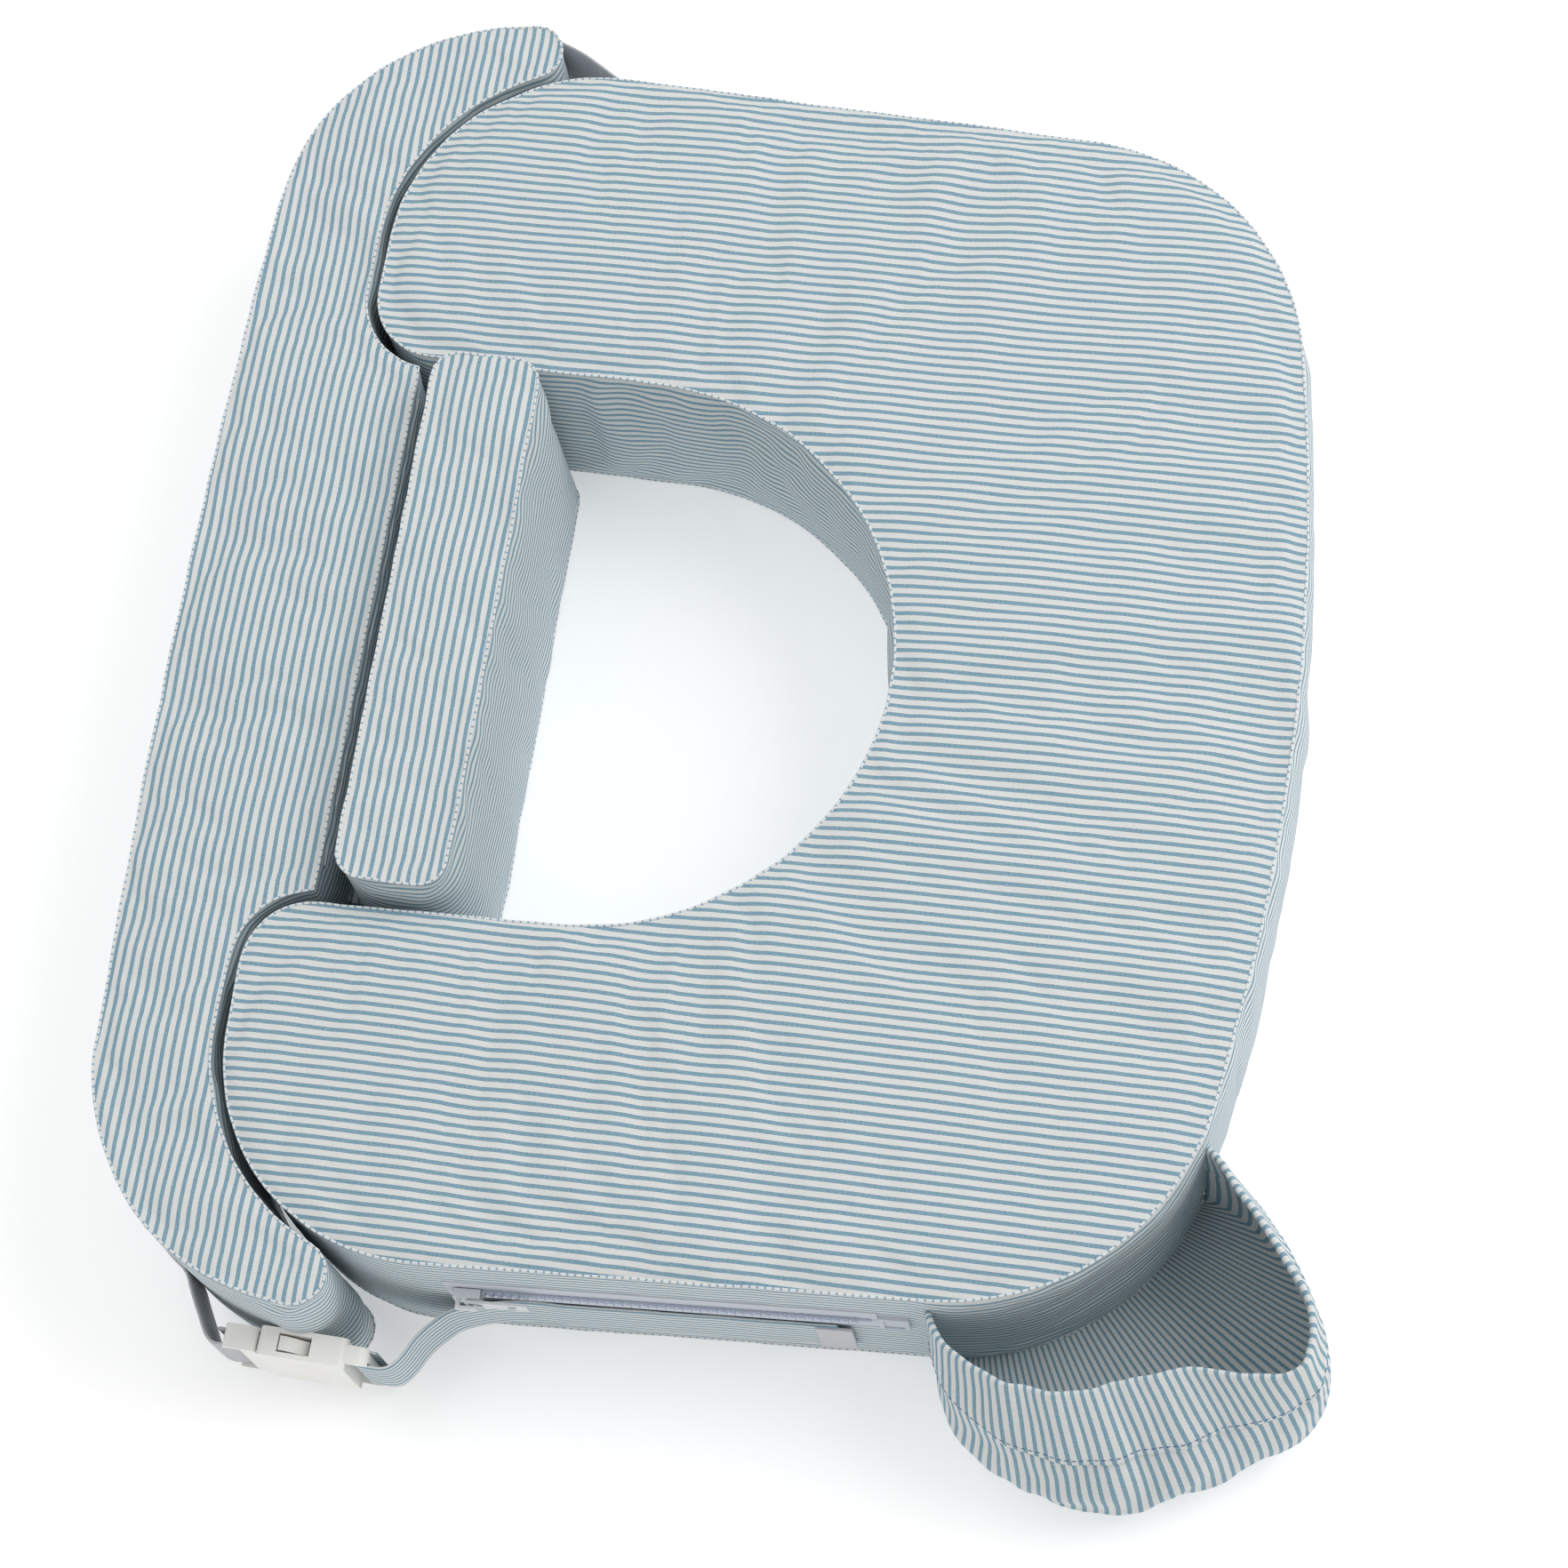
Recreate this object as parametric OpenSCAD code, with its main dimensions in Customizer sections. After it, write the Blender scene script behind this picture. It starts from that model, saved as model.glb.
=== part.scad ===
// Nursing pillow: a C-shaped cushion with a side pocket, a zip and a belt,
// and a padded back rest with a lumbar pad that swings open when the buckle is undone.
// All sizes in millimetres. +Z is up, the rounded front faces -Y, the back rest is at +Y.

/* [Cushion] */
// thickness of the cushion and the back rest
cushion_h = 114; // [90:1:140]
// thickness of the cover, seam allowance included
cover_t = 3; // [2:0.5:5]
// how far the front edge stands ahead of the middle of the belly opening
front_reach = 312.5; // [280:0.5:340]
// middle of the rounded front corner, left and right of the centre line
front_corner_x = 162; // [140:1:180]
// middle of the rounded front corner, ahead of the belly opening's middle
front_corner_y = 181; // [160:1:200]
// radius of the rounded front corner
front_corner_r = 117; // [90:1:130]
// middle of the outer round of an arm's end, left and right
arm_end_x = 195; // [180:1:210]
// middle of the outer round of an arm's end, behind the opening's middle
arm_end_y = 39; // [30:1:60]
// radius of the outer round of an arm's end
arm_end_r = 96; // [80:1:110]
// middle of the inner round of an arm's end, left and right
arm_tip_x = 166; // [160:1:175]
// radius of the inner round of an arm's end
arm_tip_r = 30; // [20:1:36]
// radius of the belly opening
belly_r = 133; // [115:1:145]

/* [Back rest] */
// clear gap between an arm's end and the back rest
rest_gap = 6; // [5:0.5:14]
// rear edge of the back rest, behind the opening's middle
rest_rear = 197; // [185:1:215]
// middle of the rounded rear corner, left and right
rest_corner_x = 205; // [190:1:215]
// middle of the rounded rear corner, behind the opening's middle
rest_corner_y = 82; // [70:1:95]
// radius of the rounded rear corner
rest_corner_r = 110; // [95:1:120]
// radius of the rounded tip of a side lobe
lobe_tip_r = 14; // [10:0.5:18]
// angle round the arm's end where a lobe's tip sits
lobe_tip_turn = 23; // [18:0.5:40]
// front face of the part between the arms, behind the opening's middle
rest_front = 109; // [100:1:120]

/* [Lumbar pad] */
// length of the lumbar pad
pad_l = 258; // [220:1:260]
// thickness of the lumbar pad
pad_t = 50; // [35:1:55]
// height of the lumbar pad, which stands above the arms
pad_h = 134; // [110:1:150]
// front face of the lumbar pad, behind the opening's middle
pad_front = 47; // [40:1:50]
// radius of the pad's upright edges
pad_edge_r = 12; // [6:1:20]

/* [Swing and belt] */
// left-right place of the swing axis, at the tip of the right-hand lobe
swing_x = 298; // [290:1:305]
// place of the swing axis behind the opening's middle
swing_y = 76; // [60:1:80]
// width of the webbing
web_w = 38; // [25:1:40]
// thickness of the webbing
web_t = 1.6; // [1.2:0.1:2.5]
// height of the belt's middle line above the floor
belt_z = 38; // [30:1:50]

/* [Buckle] */
// distance from the swing axis to the buckle
buckle_reach = 621; // [618:1:626]
// angle of the buckle about the swing axis
buckle_turn = 1.8; // [1:0.1:5]
// length of the socket
socket_l = 50; // [40:1:55]
// height of the socket across the webbing
socket_w = 48; // [44:1:52]
// thickness of the socket
socket_t = 13; // [11:0.5:14]
// length of the plug's base outside the socket
plug_l = 16; // [12:1:20]

/* [Zip] */
// length of the zip
zip_l = 190; // [150:1:220]
// height of the zip's middle line
zip_z = 72; // [65:1:85]
// pitch of the coil's turns
coil_pitch = 3.8; // [2:0.1:5]

/* [Pocket] */
// angle about the front corner's middle where the pocket starts
pocket_from = 183; // [178:1:190]
// angle where the pocket ends
pocket_to = 254; // [240:1:262]
// height of the pocket's rim at its two ends
rim_z = 98; // [85:1:105]
// how far the rim stands away from the cushion
rim_bulge = 46; // [30:1:60]
// how much further its right-hand half, filled by a folded cloth, stands away
side_bulge = 56; // [0:1:60]
// how far the full part of the pocket stands away from the cushion
bag_bulge = 88; // [60:1:95]
// depth of the folded hem
hem_w = 30; // [15:1:35]

/* [Hidden] */
$fn = 48;
shift = [12.142, 80.595, 0];
skin = cover_t;
arm_end_flat = arm_end_y + arm_end_r;
arm_tip_y = arm_end_flat - arm_tip_r;
corner_c = [front_corner_x, -front_corner_y];
end_c = [arm_end_x, arm_end_y];
tip_c = [arm_tip_x, arm_tip_y];
front_k = front_reach - front_corner_y;
front_r = (front_corner_x * front_corner_x + front_k * front_k - front_corner_r * front_corner_r)
  / (2 * (front_k - front_corner_r));
front_c = [0, front_r - front_reach];
front_a = atan2(corner_c[1] - front_c[1], corner_c[0]);
side_a = tangent_angle(corner_c, front_corner_r, end_c, arm_end_r);
belly_a = atan2(tip_c[1], tip_c[0]) - acos((belly_r + arm_tip_r) / norm(tip_c));
rest_c = [rest_corner_x, rest_corner_y];
rest_k = rest_rear - rest_corner_y;
rear_r = (rest_corner_x * rest_corner_x + rest_k * rest_k - rest_corner_r * rest_corner_r)
  / (2 * (rest_k - rest_corner_r));
rear_c = [0, rest_rear - rear_r];
rear_a = atan2(rest_c[1] - rear_c[1], rest_c[0]);
recess_r = arm_end_r + rest_gap;
lobe_a = lobe_tip_turn;
lobe_r = lobe_tip_r;
lobe_c = end_c + (recess_r + lobe_r) * unit(lobe_a);
lobe_out_a = tangent_angle(lobe_c, lobe_r, rest_c, rest_corner_r) + 360;
shoulder_r = arm_tip_r + rest_gap;
shoulder_a = 180 - asin((rest_front - tip_c[1]) / shoulder_r);
pad_rear = pad_front + pad_t;
pad_hinge = [(pad_rear + rest_front) / 2, cushion_h];
side_from = corner_c + front_corner_r * unit(side_a);
side_to = end_c + arm_end_r * unit(side_a);
zip_mid = (side_from + side_to) / 2 + 8 * [-sin(side_a), cos(side_a)];
wall_r = front_corner_r;

function unit(a) = [cos(a), sin(a)];
function arc(c, r, a0, a1, n) = [for (i = [0:n]) c + r * unit(a0 + (a1 - a0) * i / n)];
function reverse(p) = [for (i = [len(p) - 1:-1:0]) p[i]];
function flip(p) = [for (q = reverse(p)) [-q[0], q[1]]];
function turn(p, a) = [p[0] * cos(a) - p[1] * sin(a), p[0] * sin(a) + p[1] * cos(a)];

// angle of the outward normal where a line touches two rounds on their right-hand side
function tangent_angle(a, ra, b, rb) =
  atan2(b[1] - a[1], b[0] - a[0]) - acos((ra - rb) / norm(b - a));

// right half of the cushion's edge, d outside the cover
function cushion_half(d) = concat(
  arc(front_c, front_r + d, -90, front_a, 8),
  arc(corner_c, front_corner_r + d, front_a, side_a, 20),
  arc(end_c, arm_end_r + d, side_a, 90, 18),
  arc(tip_c, arm_tip_r + d, 90, 180 + belly_a, 12),
  arc([0, 0], belly_r - d, belly_a, -90, 24));

// right half of the back rest's edge, d outside the cover
function rest_half(d) = concat(
  [[0, rest_front - d]],
  [[tip_c[0] + (shoulder_r - d) * cos(shoulder_a), rest_front - d]],
  arc(tip_c, shoulder_r - d, shoulder_a, 90, 12),
  arc(end_c, recess_r - d, 90, lobe_a, 18),
  arc(lobe_c, lobe_r + d, lobe_a - 180, lobe_out_a, 14),
  arc(rest_c, rest_corner_r + d, lobe_out_a, rear_a, 18),
  arc(rear_c, rear_r + d, rear_a, 90, 8));

// cross-section of a strip of webbing of thickness t along a path
function path_dir(p, i) = let (a = p[max(i - 1, 0)], b = p[min(i + 1, len(p) - 1)])
  (b - a) / norm(b - a);
function side_line(p, t) = [for (i = [0:len(p) - 1])
  let (v = path_dir(p, i)) p[i] + t / 2 * [-v[1], v[0]]];
function strip(p, t) = concat(side_line(p, t), reverse(side_line(p, -t)));

// a point of the buckle's own plan, brought into the pillow's plan
function at_buckle(p) = [swing_x, swing_y] + turn([p[0] - buckle_reach, p[1]], -buckle_turn);

module cushion_plan(d) {
  polygon(concat(cushion_half(d), flip(cushion_half(d))));
}

module rest_plan(d) {
  polygon(concat(rest_half(d), flip(rest_half(d))));
}

module pad_plan(d) {
  r = pad_edge_r + d;
  x = pad_l / 2 - pad_edge_r;
  y = pad_t / 2 - pad_edge_r;
  polygon(concat(arc([x, -y], r, -90, 0, 8), arc([x, y], r, 0, 90, 8),
    arc([-x, y], r, 90, 180, 8), arc([-x, -y], r, 180, 270, 8)));
}

module slab(z, h) {
  translate([0, 0, z]) linear_extrude(h) children();
}

module arm_window() {
  x = (arm_tip_x + arm_end_x) / 2;
  translate([-x, -belly_r - 6]) square([2 * x, belly_r + arm_end_flat + 20]);
}

// the part of the back rest's edge that faces the arms
module rest_window() {
  polygon(concat(arc(end_c, recess_r + 2 * skin, lobe_a, 90, 12),
    [[arm_tip_x, arm_end_flat + rest_gap + 2 * skin], [0, arm_end_flat + rest_gap + 2 * skin],
     [0, 0], [lobe_c[0] - 4, 0], lobe_c]));
}

module both_sides() {
  children();
  mirror([1, 0, 0]) children();
}

// ---- cushion ----

module cushion_foam() {
  color([0.93, 0.9, 0.8]) slab(skin, cushion_h - 2 * skin) cushion_plan(-skin);
}

module cushion_top_panel() {
  color([0.74, 0.82, 0.87]) slab(cushion_h - skin, skin) cushion_plan(0);
}

module cushion_bottom_panel() {
  color([0.74, 0.82, 0.87]) slab(0, skin) cushion_plan(0);
}

module cushion_ring() {
  difference() {
    cushion_plan(0);
    cushion_plan(-skin);
  }
}

module cushion_outer_wall() {
  color([0.66, 0.77, 0.84]) slab(skin, cushion_h - 2 * skin) difference() {
    cushion_ring();
    arm_window();
  }
}

module cushion_inner_wall() {
  color([0.66, 0.77, 0.84]) slab(skin, cushion_h - 2 * skin) intersection() {
    cushion_ring();
    arm_window();
  }
}

// ---- zip on the left-hand side wall; local x is outward, y towards the front ----

module on_left_wall(z) {
  translate([-zip_mid[0], zip_mid[1], z]) rotate([0, 0, 180 - side_a]) children();
}

module zip_tape_upper() {
  color([0.85, 0.88, 0.9]) on_left_wall(zip_z) translate([0, -zip_l / 2, 0.2])
    cube([1, zip_l, 12]);
}

module zip_tape_lower() {
  color([0.85, 0.88, 0.9]) on_left_wall(zip_z) translate([0, -zip_l / 2, -12.2])
    cube([1, zip_l, 12]);
}

module zip_coil() {
  turns = floor((zip_l - 8) / coil_pitch);
  color([0.8, 0.84, 0.88]) on_left_wall(zip_z) {
    translate([1, -zip_l / 2 + 3, -2]) cube([1.2, zip_l - 6, 4]);
    for (i = [0:turns - 1]) translate([1.5, -zip_l / 2 + 4 + i * coil_pitch, -2.6])
      cube([1.5, coil_pitch * 0.55, 5.2]);
  }
}

module zip_end_tab() {
  color([0.86, 0.88, 0.92]) on_left_wall(zip_z) translate([0, zip_l / 2 + 0.5, -11]) difference() {
    cube([2.2, 13, 18]);
    translate([1.4, 2, 2]) cube([2, 9, 14]);
  }
}

module zip_slider() {
  color([0.82, 0.83, 0.84]) on_left_wall(zip_z) translate([0, -zip_l / 2 + 10, 0]) {
    difference() {
      translate([1.4, -6, -4.6]) cube([4.2, 12, 9.2]);
      translate([1, -7, -3]) cube([2.4, 14, 6]);
    }
    difference() {
      translate([5.5, -5, -1.5]) cube([4.4, 10, 3]);
      translate([5.6, -3.2, -2]) cube([2.8, 6.4, 4]);
    }
  }
}

module zip_pull() {
  color([0.86, 0.87, 0.88]) on_left_wall(zip_z) translate([7, -zip_l / 2 + 10, 0]) {
    translate([0, 0, -4]) cylinder(h = 8, r = 0.9, $fn = 24);
    for (z = [-4, 2.4]) translate([-0.6, 0, z]) cube([1.2, 9, 1.6]);
    difference() {
      translate([-0.6, 7, -4.5]) cube([1.2, 20, 9]);
      translate([-1, 20, 0]) rotate([0, 90, 0]) cylinder(h = 3, r = 2, $fn = 24);
    }
  }
}

// ---- pocket at the left-hand front corner ----

function pocket_angle(t) = pocket_from + (pocket_to - pocket_from) * t;
function rim_out(t) = rim_bulge * pow(sin(180 * t), 0.7)
  + side_bulge * exp(-pow((t - 0.76) / 0.15, 2)) * pow(sin(180 * t), 0.5);
function bag_out(t) = bag_bulge * pow(sin(180 * t), 0.55)
  + side_bulge * 0.45 * exp(-pow((t - 0.78) / 0.18, 2)) * pow(sin(180 * t), 0.5);
function belly(s) = s < 0.62 ? sin(90 * s / 0.62) : cos(90 * pow((s - 0.62) / 0.38, 1.7));
function pocket_out(t, s) = s < 0.62 ? rim_out(t) + (bag_out(t) - rim_out(t)) * belly(s)
  : bag_out(t) * belly(s);
function pocket_top(t) = rim_z - 9 * sin(180 * t);
function pocket_z(t, s) = 4 + (pocket_top(t) - 4) * (s < 0.62 ? 1 - 1.25 * s
  : 0.225 * pow((1 - s) / 0.38, 0.6));
function pocket_point(t, s, d) = let (
    r = wall_r + 0.3 + pocket_out(t, s) + d,
    p = [-front_corner_x, -front_corner_y] + r * unit(pocket_angle(t)))
  [p[0], p[1], pocket_z(t, s) - d * s * s * 0.9];

// a sheet of cloth of thickness th on the pocket's surface, from depth s0 to s1
module pocket_sheet(s0, s1, d, th, na, ns) {
  m = ns + 1;
  n = (na + 1) * m;
  points = [for (k = [0:1]) for (i = [0:na]) for (j = [0:ns])
    pocket_point(i / na, s0 + (s1 - s0) * j / ns, d + k * th)];
  inner = [for (i = [0:na - 1]) for (j = [0:ns - 1])
    each [[i * m + j, i * m + j + 1, (i + 1) * m + j], [i * m + j + 1, (i + 1) * m + j + 1, (i + 1) * m + j]]];
  outer = [for (f = inner) [n + f[2], n + f[1], n + f[0]]];
  rim = [for (i = [0:na - 1]) each [[i * m, (i + 1) * m, n + i * m],
    [(i + 1) * m, n + (i + 1) * m, n + i * m]]];
  foot = [for (i = [0:na - 1]) each [[i * m + ns, n + i * m + ns, (i + 1) * m + ns],
    [(i + 1) * m + ns, n + i * m + ns, n + (i + 1) * m + ns]]];
  left = [for (j = [0:ns - 1]) each [[j, n + j, j + 1], [j + 1, n + j, n + j + 1]]];
  last = na * m;
  right = [for (j = [0:ns - 1]) each [[last + j, last + j + 1, n + last + j],
    [last + j + 1, n + last + j + 1, n + last + j]]];
  polyhedron(points, concat(inner, outer, rim, foot, left, right));
}

module pocket_bag() {
  color([0.7, 0.8, 0.86]) pocket_sheet(0, 1, 0, 2, 32, 22);
}

module pocket_hem() {
  color([0.76, 0.84, 0.88]) pocket_sheet(0, hem_w / 110, 2.15, 1.2, 32, 6);
}

// a stitched bar beside the pocket's end; y is its near edge along the wall
module pocket_tack(t, y) {
  color([0.3, 0.42, 0.6]) translate([-front_corner_x, -front_corner_y, rim_z - 12])
    rotate([0, 0, pocket_angle(t)]) translate([wall_r + 0.05, y, 0]) cube([1, 2.4, 10]);
}

module pocket_tack_left() {
  pocket_tack(0, -2.6);
}

module pocket_tack_right() {
  pocket_tack(1, 0.2);
}

// ---- belts and straps: upright strips of webbing ----

function left_wall(s, d) = let (p = side_from + (side_to - side_from) * s + d * unit(side_a))
  [-p[0], p[1]];
function left_end(a, d) = let (p = end_c + (arm_end_r + d) * unit(a)) [-p[0], p[1]];

// the loop of webbing round a buckle's bar; y is the bar's inner side, k points into the slot
function web_loop(y, k) = [for (a = [-90:15:90])
  at_buckle([3.2 * sin(a), y + k * 3.2 * cos(a)])];

module belt(path, z) {
  translate([0, 0, z - web_w / 2]) linear_extrude(web_w) polygon(strip(path, web_t));
}

module front_belt() {
  color([0.72, 0.8, 0.86]) belt(concat([for (i = [0:6]) left_wall(0.19 + 0.11 * i, 1)],
    [[-296.5, 24], [-303, 32.5], [-312, 39.5], [-321, 44.5], at_buckle([-2.8, -45])],
    web_loop(-33.5, 1), [at_buckle([3.1, -41])]), belt_z);
}

module front_belt_patch() {
  p = left_wall(0.2, 1.9);
  color([0.8, 0.82, 0.85]) translate([p[0], p[1], belt_z]) rotate([0, 0, 180 - side_a])
    translate([0, -8, -17]) cube([1.2, 16, 34]);
}

module rear_belt() {
  color([0.72, 0.74, 0.78]) belt(concat([for (a = [124:5:144]) rest_wall(a, 1.2)],
    [[-304, 143], [-313, 138], at_buckle([-3, 35])],
    web_loop(24.6, -1), [at_buckle([3.1, 33])]), belt_z);
}

function rest_wall(a, d) = [-rest_corner_x, rest_corner_y] + (rest_corner_r + d) * unit(a);

module rear_belt_patch() {
  p = rest_wall(126, 2.1);
  color([0.62, 0.65, 0.7]) translate([p[0], p[1], belt_z]) rotate([0, 0, 126])
    translate([0, -7, -17]) cube([2.4, 14, 34]);
}

module side_strap() {
  arm = [for (i = [0:3]) let (q = side_from + (side_to - side_from) * (0.99 - 0.06 * i))
    q + 1.1 * unit(side_a)];
  lobe = concat([for (a = [24, 18, 12]) rest_c + (rest_corner_r + 1.2) * unit(a)],
    [for (a = [6, -20]) lobe_c + (lobe_r + 1.4) * unit(a)]);
  color([0.7, 0.7, 0.7]) belt(concat(lobe, [[310, 64], [303, 52], [296.5, 42]], arm), 84);
}

// ---- buckle; local y runs along the belt from the socket's bar to the plug ----

module buckle_place() {
  translate([swing_x, swing_y, belt_z]) rotate([0, 0, -buckle_turn])
    translate([-buckle_reach, 0, 0]) children();
}

// a plate in the plane of the belt with rounded corners: y from y0 to y1, width w, thickness t
module rounded_plate(y0, y1, w, t, r) {
  translate([-t / 2, 0, 0]) rotate([90, 0, 90]) linear_extrude(t) polygon(concat(
    arc([y1 - r, w / 2 - r], r, 0, 90, 6), arc([y0 + r, w / 2 - r], r, 90, 180, 6),
    arc([y0 + r, -w / 2 + r], r, 180, 270, 6), arc([y1 - r, -w / 2 + r], r, 270, 360, 6)));
}

module buckle_socket() {
  y0 = 12 - socket_l;
  color([0.93, 0.93, 0.91]) buckle_place() difference() {
    union() {
      rounded_plate(-28, 12, socket_w, socket_t, 3);
      rounded_plate(y0, -24, socket_w - 2, 8, 5);
    }
    translate([-4.2, -16, -20.6]) cube([8.4, 30, 41.2]);
    for (z = [-socket_w / 2 - 1, 20]) translate([-4.2, -12, z]) cube([8.4, 15, 5]);
    translate([-10, y0 + 4.5, -web_w / 2 - 0.6]) cube([20, 6.5, web_w + 1.2]);
    for (x = [-10, 2]) translate([x, y0 - 1, -web_w / 2 - 0.6]) cube([8, 6, web_w + 1.2]);
  }
}

module buckle_plug() {
  y1 = 12.6 + plug_l;
  color([0.95, 0.95, 0.93]) buckle_place() {
    difference() {
      rounded_plate(12.6, y1, socket_w - 4, 11, 3.5);
      translate([-10, 20, -web_w / 2 - 0.6]) cube([20, 4.6, web_w + 1.2]);
      for (x = [-10, 2]) translate([x, 20, -web_w / 2 - 0.6]) cube([8, 20, web_w + 1.2]);
      for (z = [-17.4, 17.4]) translate([-3.6, 12, z]) {
        translate([0, 2.6, 0]) rotate([0, 90, 0]) cylinder(h = 7.2, r = 2.3);
        translate([0, -1, -2.6]) cube([7.2, 3.8, 5.2]);
      }
    }
    translate([-3, -12, -3]) cube([6, 25, 6]);
  }
}

// one sprung side arm: k is 1 for the upper one and -1 for the lower one
module buckle_prong(k) {
  color([0.95, 0.95, 0.93]) buckle_place() translate([-3.2, 0, 0]) rotate([90, 0, 90]) {
    translate([14.6, k * 17.4, 0]) cylinder(h = 6.4, r = 2);
    linear_extrude(6.4) polygon([[14.6, k * 15.8], [14.6, k * 18.6], [2.4, k * 19.6],
      [2.4, k * 23.4], [-0.5, k * 23.4], [-10, k * 18], [-10, k * 15], [0, k * 15.4]]);
  }
}

module buckle_prong_upper() {
  buckle_prong(1);
}

module buckle_prong_lower() {
  buckle_prong(-1);
}

// ---- back rest ----

module rest_foam() {
  color([0.93, 0.9, 0.8]) slab(skin, cushion_h - 2 * skin) rest_plan(-skin);
}

module rest_top_panel() {
  color([0.74, 0.82, 0.87]) slab(cushion_h - skin, skin) rest_plan(0);
}

module rest_bottom_panel() {
  color([0.74, 0.82, 0.87]) slab(0, skin) rest_plan(0);
}

module rest_ring() {
  difference() {
    rest_plan(0);
    rest_plan(-skin);
  }
}

module rest_outer_wall() {
  color([0.66, 0.77, 0.84]) slab(skin, cushion_h - 2 * skin) difference() {
    rest_ring();
    both_sides() rest_window();
  }
}

module rest_inner_wall() {
  color([0.66, 0.77, 0.84]) slab(skin, cushion_h - 2 * skin) intersection() {
    rest_ring();
    both_sides() rest_window();
  }
}

// ---- lumbar pad ----

module pad_place() {
  translate([0.5, (pad_front + pad_rear) / 2, 0.4]) children();
}

module pad_foam() {
  color([0.93, 0.9, 0.8]) pad_place() slab(skin, pad_h - 2 * skin - 0.4) pad_plan(-skin);
}

module pad_top_panel() {
  color([0.74, 0.82, 0.87]) pad_place() slab(pad_h - skin - 0.4, skin) pad_plan(0);
}

module pad_bottom_panel() {
  color([0.74, 0.82, 0.87]) pad_place() slab(0, skin) pad_plan(0);
}

module pad_wall() {
  color([0.66, 0.77, 0.84]) pad_place() slab(skin, pad_h - 2 * skin - 0.4) difference() {
    pad_plan(0);
    pad_plan(-skin);
  }
}

// a cloth strip folded down into the gap between the pad and the back rest
module pad_hinge_strip() {
  a = pad_rear + 0.9;
  b = rest_front - 0.9;
  m = (a + b) / 2;
  path = concat([[a, cushion_h - 6], [a, 66]], arc([m, 62], m - a, 180, 360, 10),
    [[b, 66], [b, cushion_h - 6]]);
  color([0.7, 0.8, 0.86]) translate([-118, 0, 0]) rotate([90, 0, 90])
    linear_extrude(236) polygon(strip(path, 1.2));
}

translate(shift) {
  cushion_foam();
  cushion_top_panel();
  cushion_bottom_panel();
  cushion_outer_wall();
  cushion_inner_wall();
  zip_tape_upper();
  zip_tape_lower();
  zip_coil();
  zip_end_tab();
  zip_slider();
  zip_pull();
  pocket_bag();
  pocket_hem();
  pocket_tack_left();
  pocket_tack_right();
  front_belt();
  front_belt_patch();
  buckle_socket();
  rest_foam();
  rest_top_panel();
  rest_bottom_panel();
  rest_outer_wall();
  rest_inner_wall();
  rear_belt();
  rear_belt_patch();
  buckle_plug();
  buckle_prong_upper();
  buckle_prong_lower();
  side_strap();
  pad_foam();
  pad_top_panel();
  pad_bottom_panel();
  pad_wall();
  pad_hinge_strip();
}
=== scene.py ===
# Looks of the nursing pillow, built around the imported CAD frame. Metres, +Z up, front at -Y.
import math

import bpy
import numpy as np
from mathutils import Matrix, Vector, geometry, noise


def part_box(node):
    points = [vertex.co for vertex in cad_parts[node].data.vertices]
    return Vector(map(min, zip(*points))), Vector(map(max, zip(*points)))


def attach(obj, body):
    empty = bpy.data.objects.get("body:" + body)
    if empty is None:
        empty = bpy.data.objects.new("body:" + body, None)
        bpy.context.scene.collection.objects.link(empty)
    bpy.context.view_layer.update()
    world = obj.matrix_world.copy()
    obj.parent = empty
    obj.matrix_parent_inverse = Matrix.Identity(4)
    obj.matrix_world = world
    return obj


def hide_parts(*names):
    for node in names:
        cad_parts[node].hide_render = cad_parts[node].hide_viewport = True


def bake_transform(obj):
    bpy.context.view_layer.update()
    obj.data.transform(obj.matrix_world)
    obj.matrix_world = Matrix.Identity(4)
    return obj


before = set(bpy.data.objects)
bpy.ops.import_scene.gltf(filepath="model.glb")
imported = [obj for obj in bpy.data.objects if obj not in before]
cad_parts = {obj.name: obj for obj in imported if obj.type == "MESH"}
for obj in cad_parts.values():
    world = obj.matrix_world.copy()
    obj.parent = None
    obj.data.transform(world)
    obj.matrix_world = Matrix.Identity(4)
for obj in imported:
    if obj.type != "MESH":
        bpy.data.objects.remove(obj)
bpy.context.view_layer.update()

MM = 0.001

# ---------------------------------------------------------------- plan of the pillow, as in the CAD

PANEL_LO, PANEL_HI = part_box("cushion_top_panel")
AXIS_X = (PANEL_LO[0] + PANEL_HI[0]) / 2
AXIS_Y = PANEL_LO[1] + 312.5 * MM
ORIGIN = np.array([AXIS_X, AXIS_Y])
HEIGHT = PANEL_HI[2]
PITCH = 4.4 * MM

CORNER, CORNER_R = np.array([162.0, -181.0]), 117.0
ARM_END, ARM_END_R = np.array([195.0, 39.0]), 96.0
ARM_TIP, ARM_TIP_R = np.array([166.0, 105.0]), 30.0
BELLY_R = 133.0
REST_GAP = 6.0
REST_REAR, REST_FRONT = 197.0, 109.0
REST_CORNER, REST_CORNER_R = np.array([205.0, 82.0]), 110.0
LOBE_R, LOBE_TURN = 14.0, 23.0
PAD_L, PAD_T, PAD_H, PAD_FRONT, PAD_EDGE_R = 258.0, 50.0, 134.0, 47.0, 12.0
SWING = np.array([298.0, 76.0])
BELT_Z, STRAP_Z, WEB_W, WEB_T = 38.0, 84.0, 38.0, 1.6
BUCKLE_REACH, BUCKLE_TURN = 621.0, 1.8


def unit(a):
    return np.array([math.cos(math.radians(a)), math.sin(math.radians(a))])


def arc(c, r, a0, a1, step=2.0):
    n = max(2, int(abs(math.radians(a1 - a0)) * r / step))
    return [c + r * unit(a0 + (a1 - a0) * i / n) for i in range(n + 1)]


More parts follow.
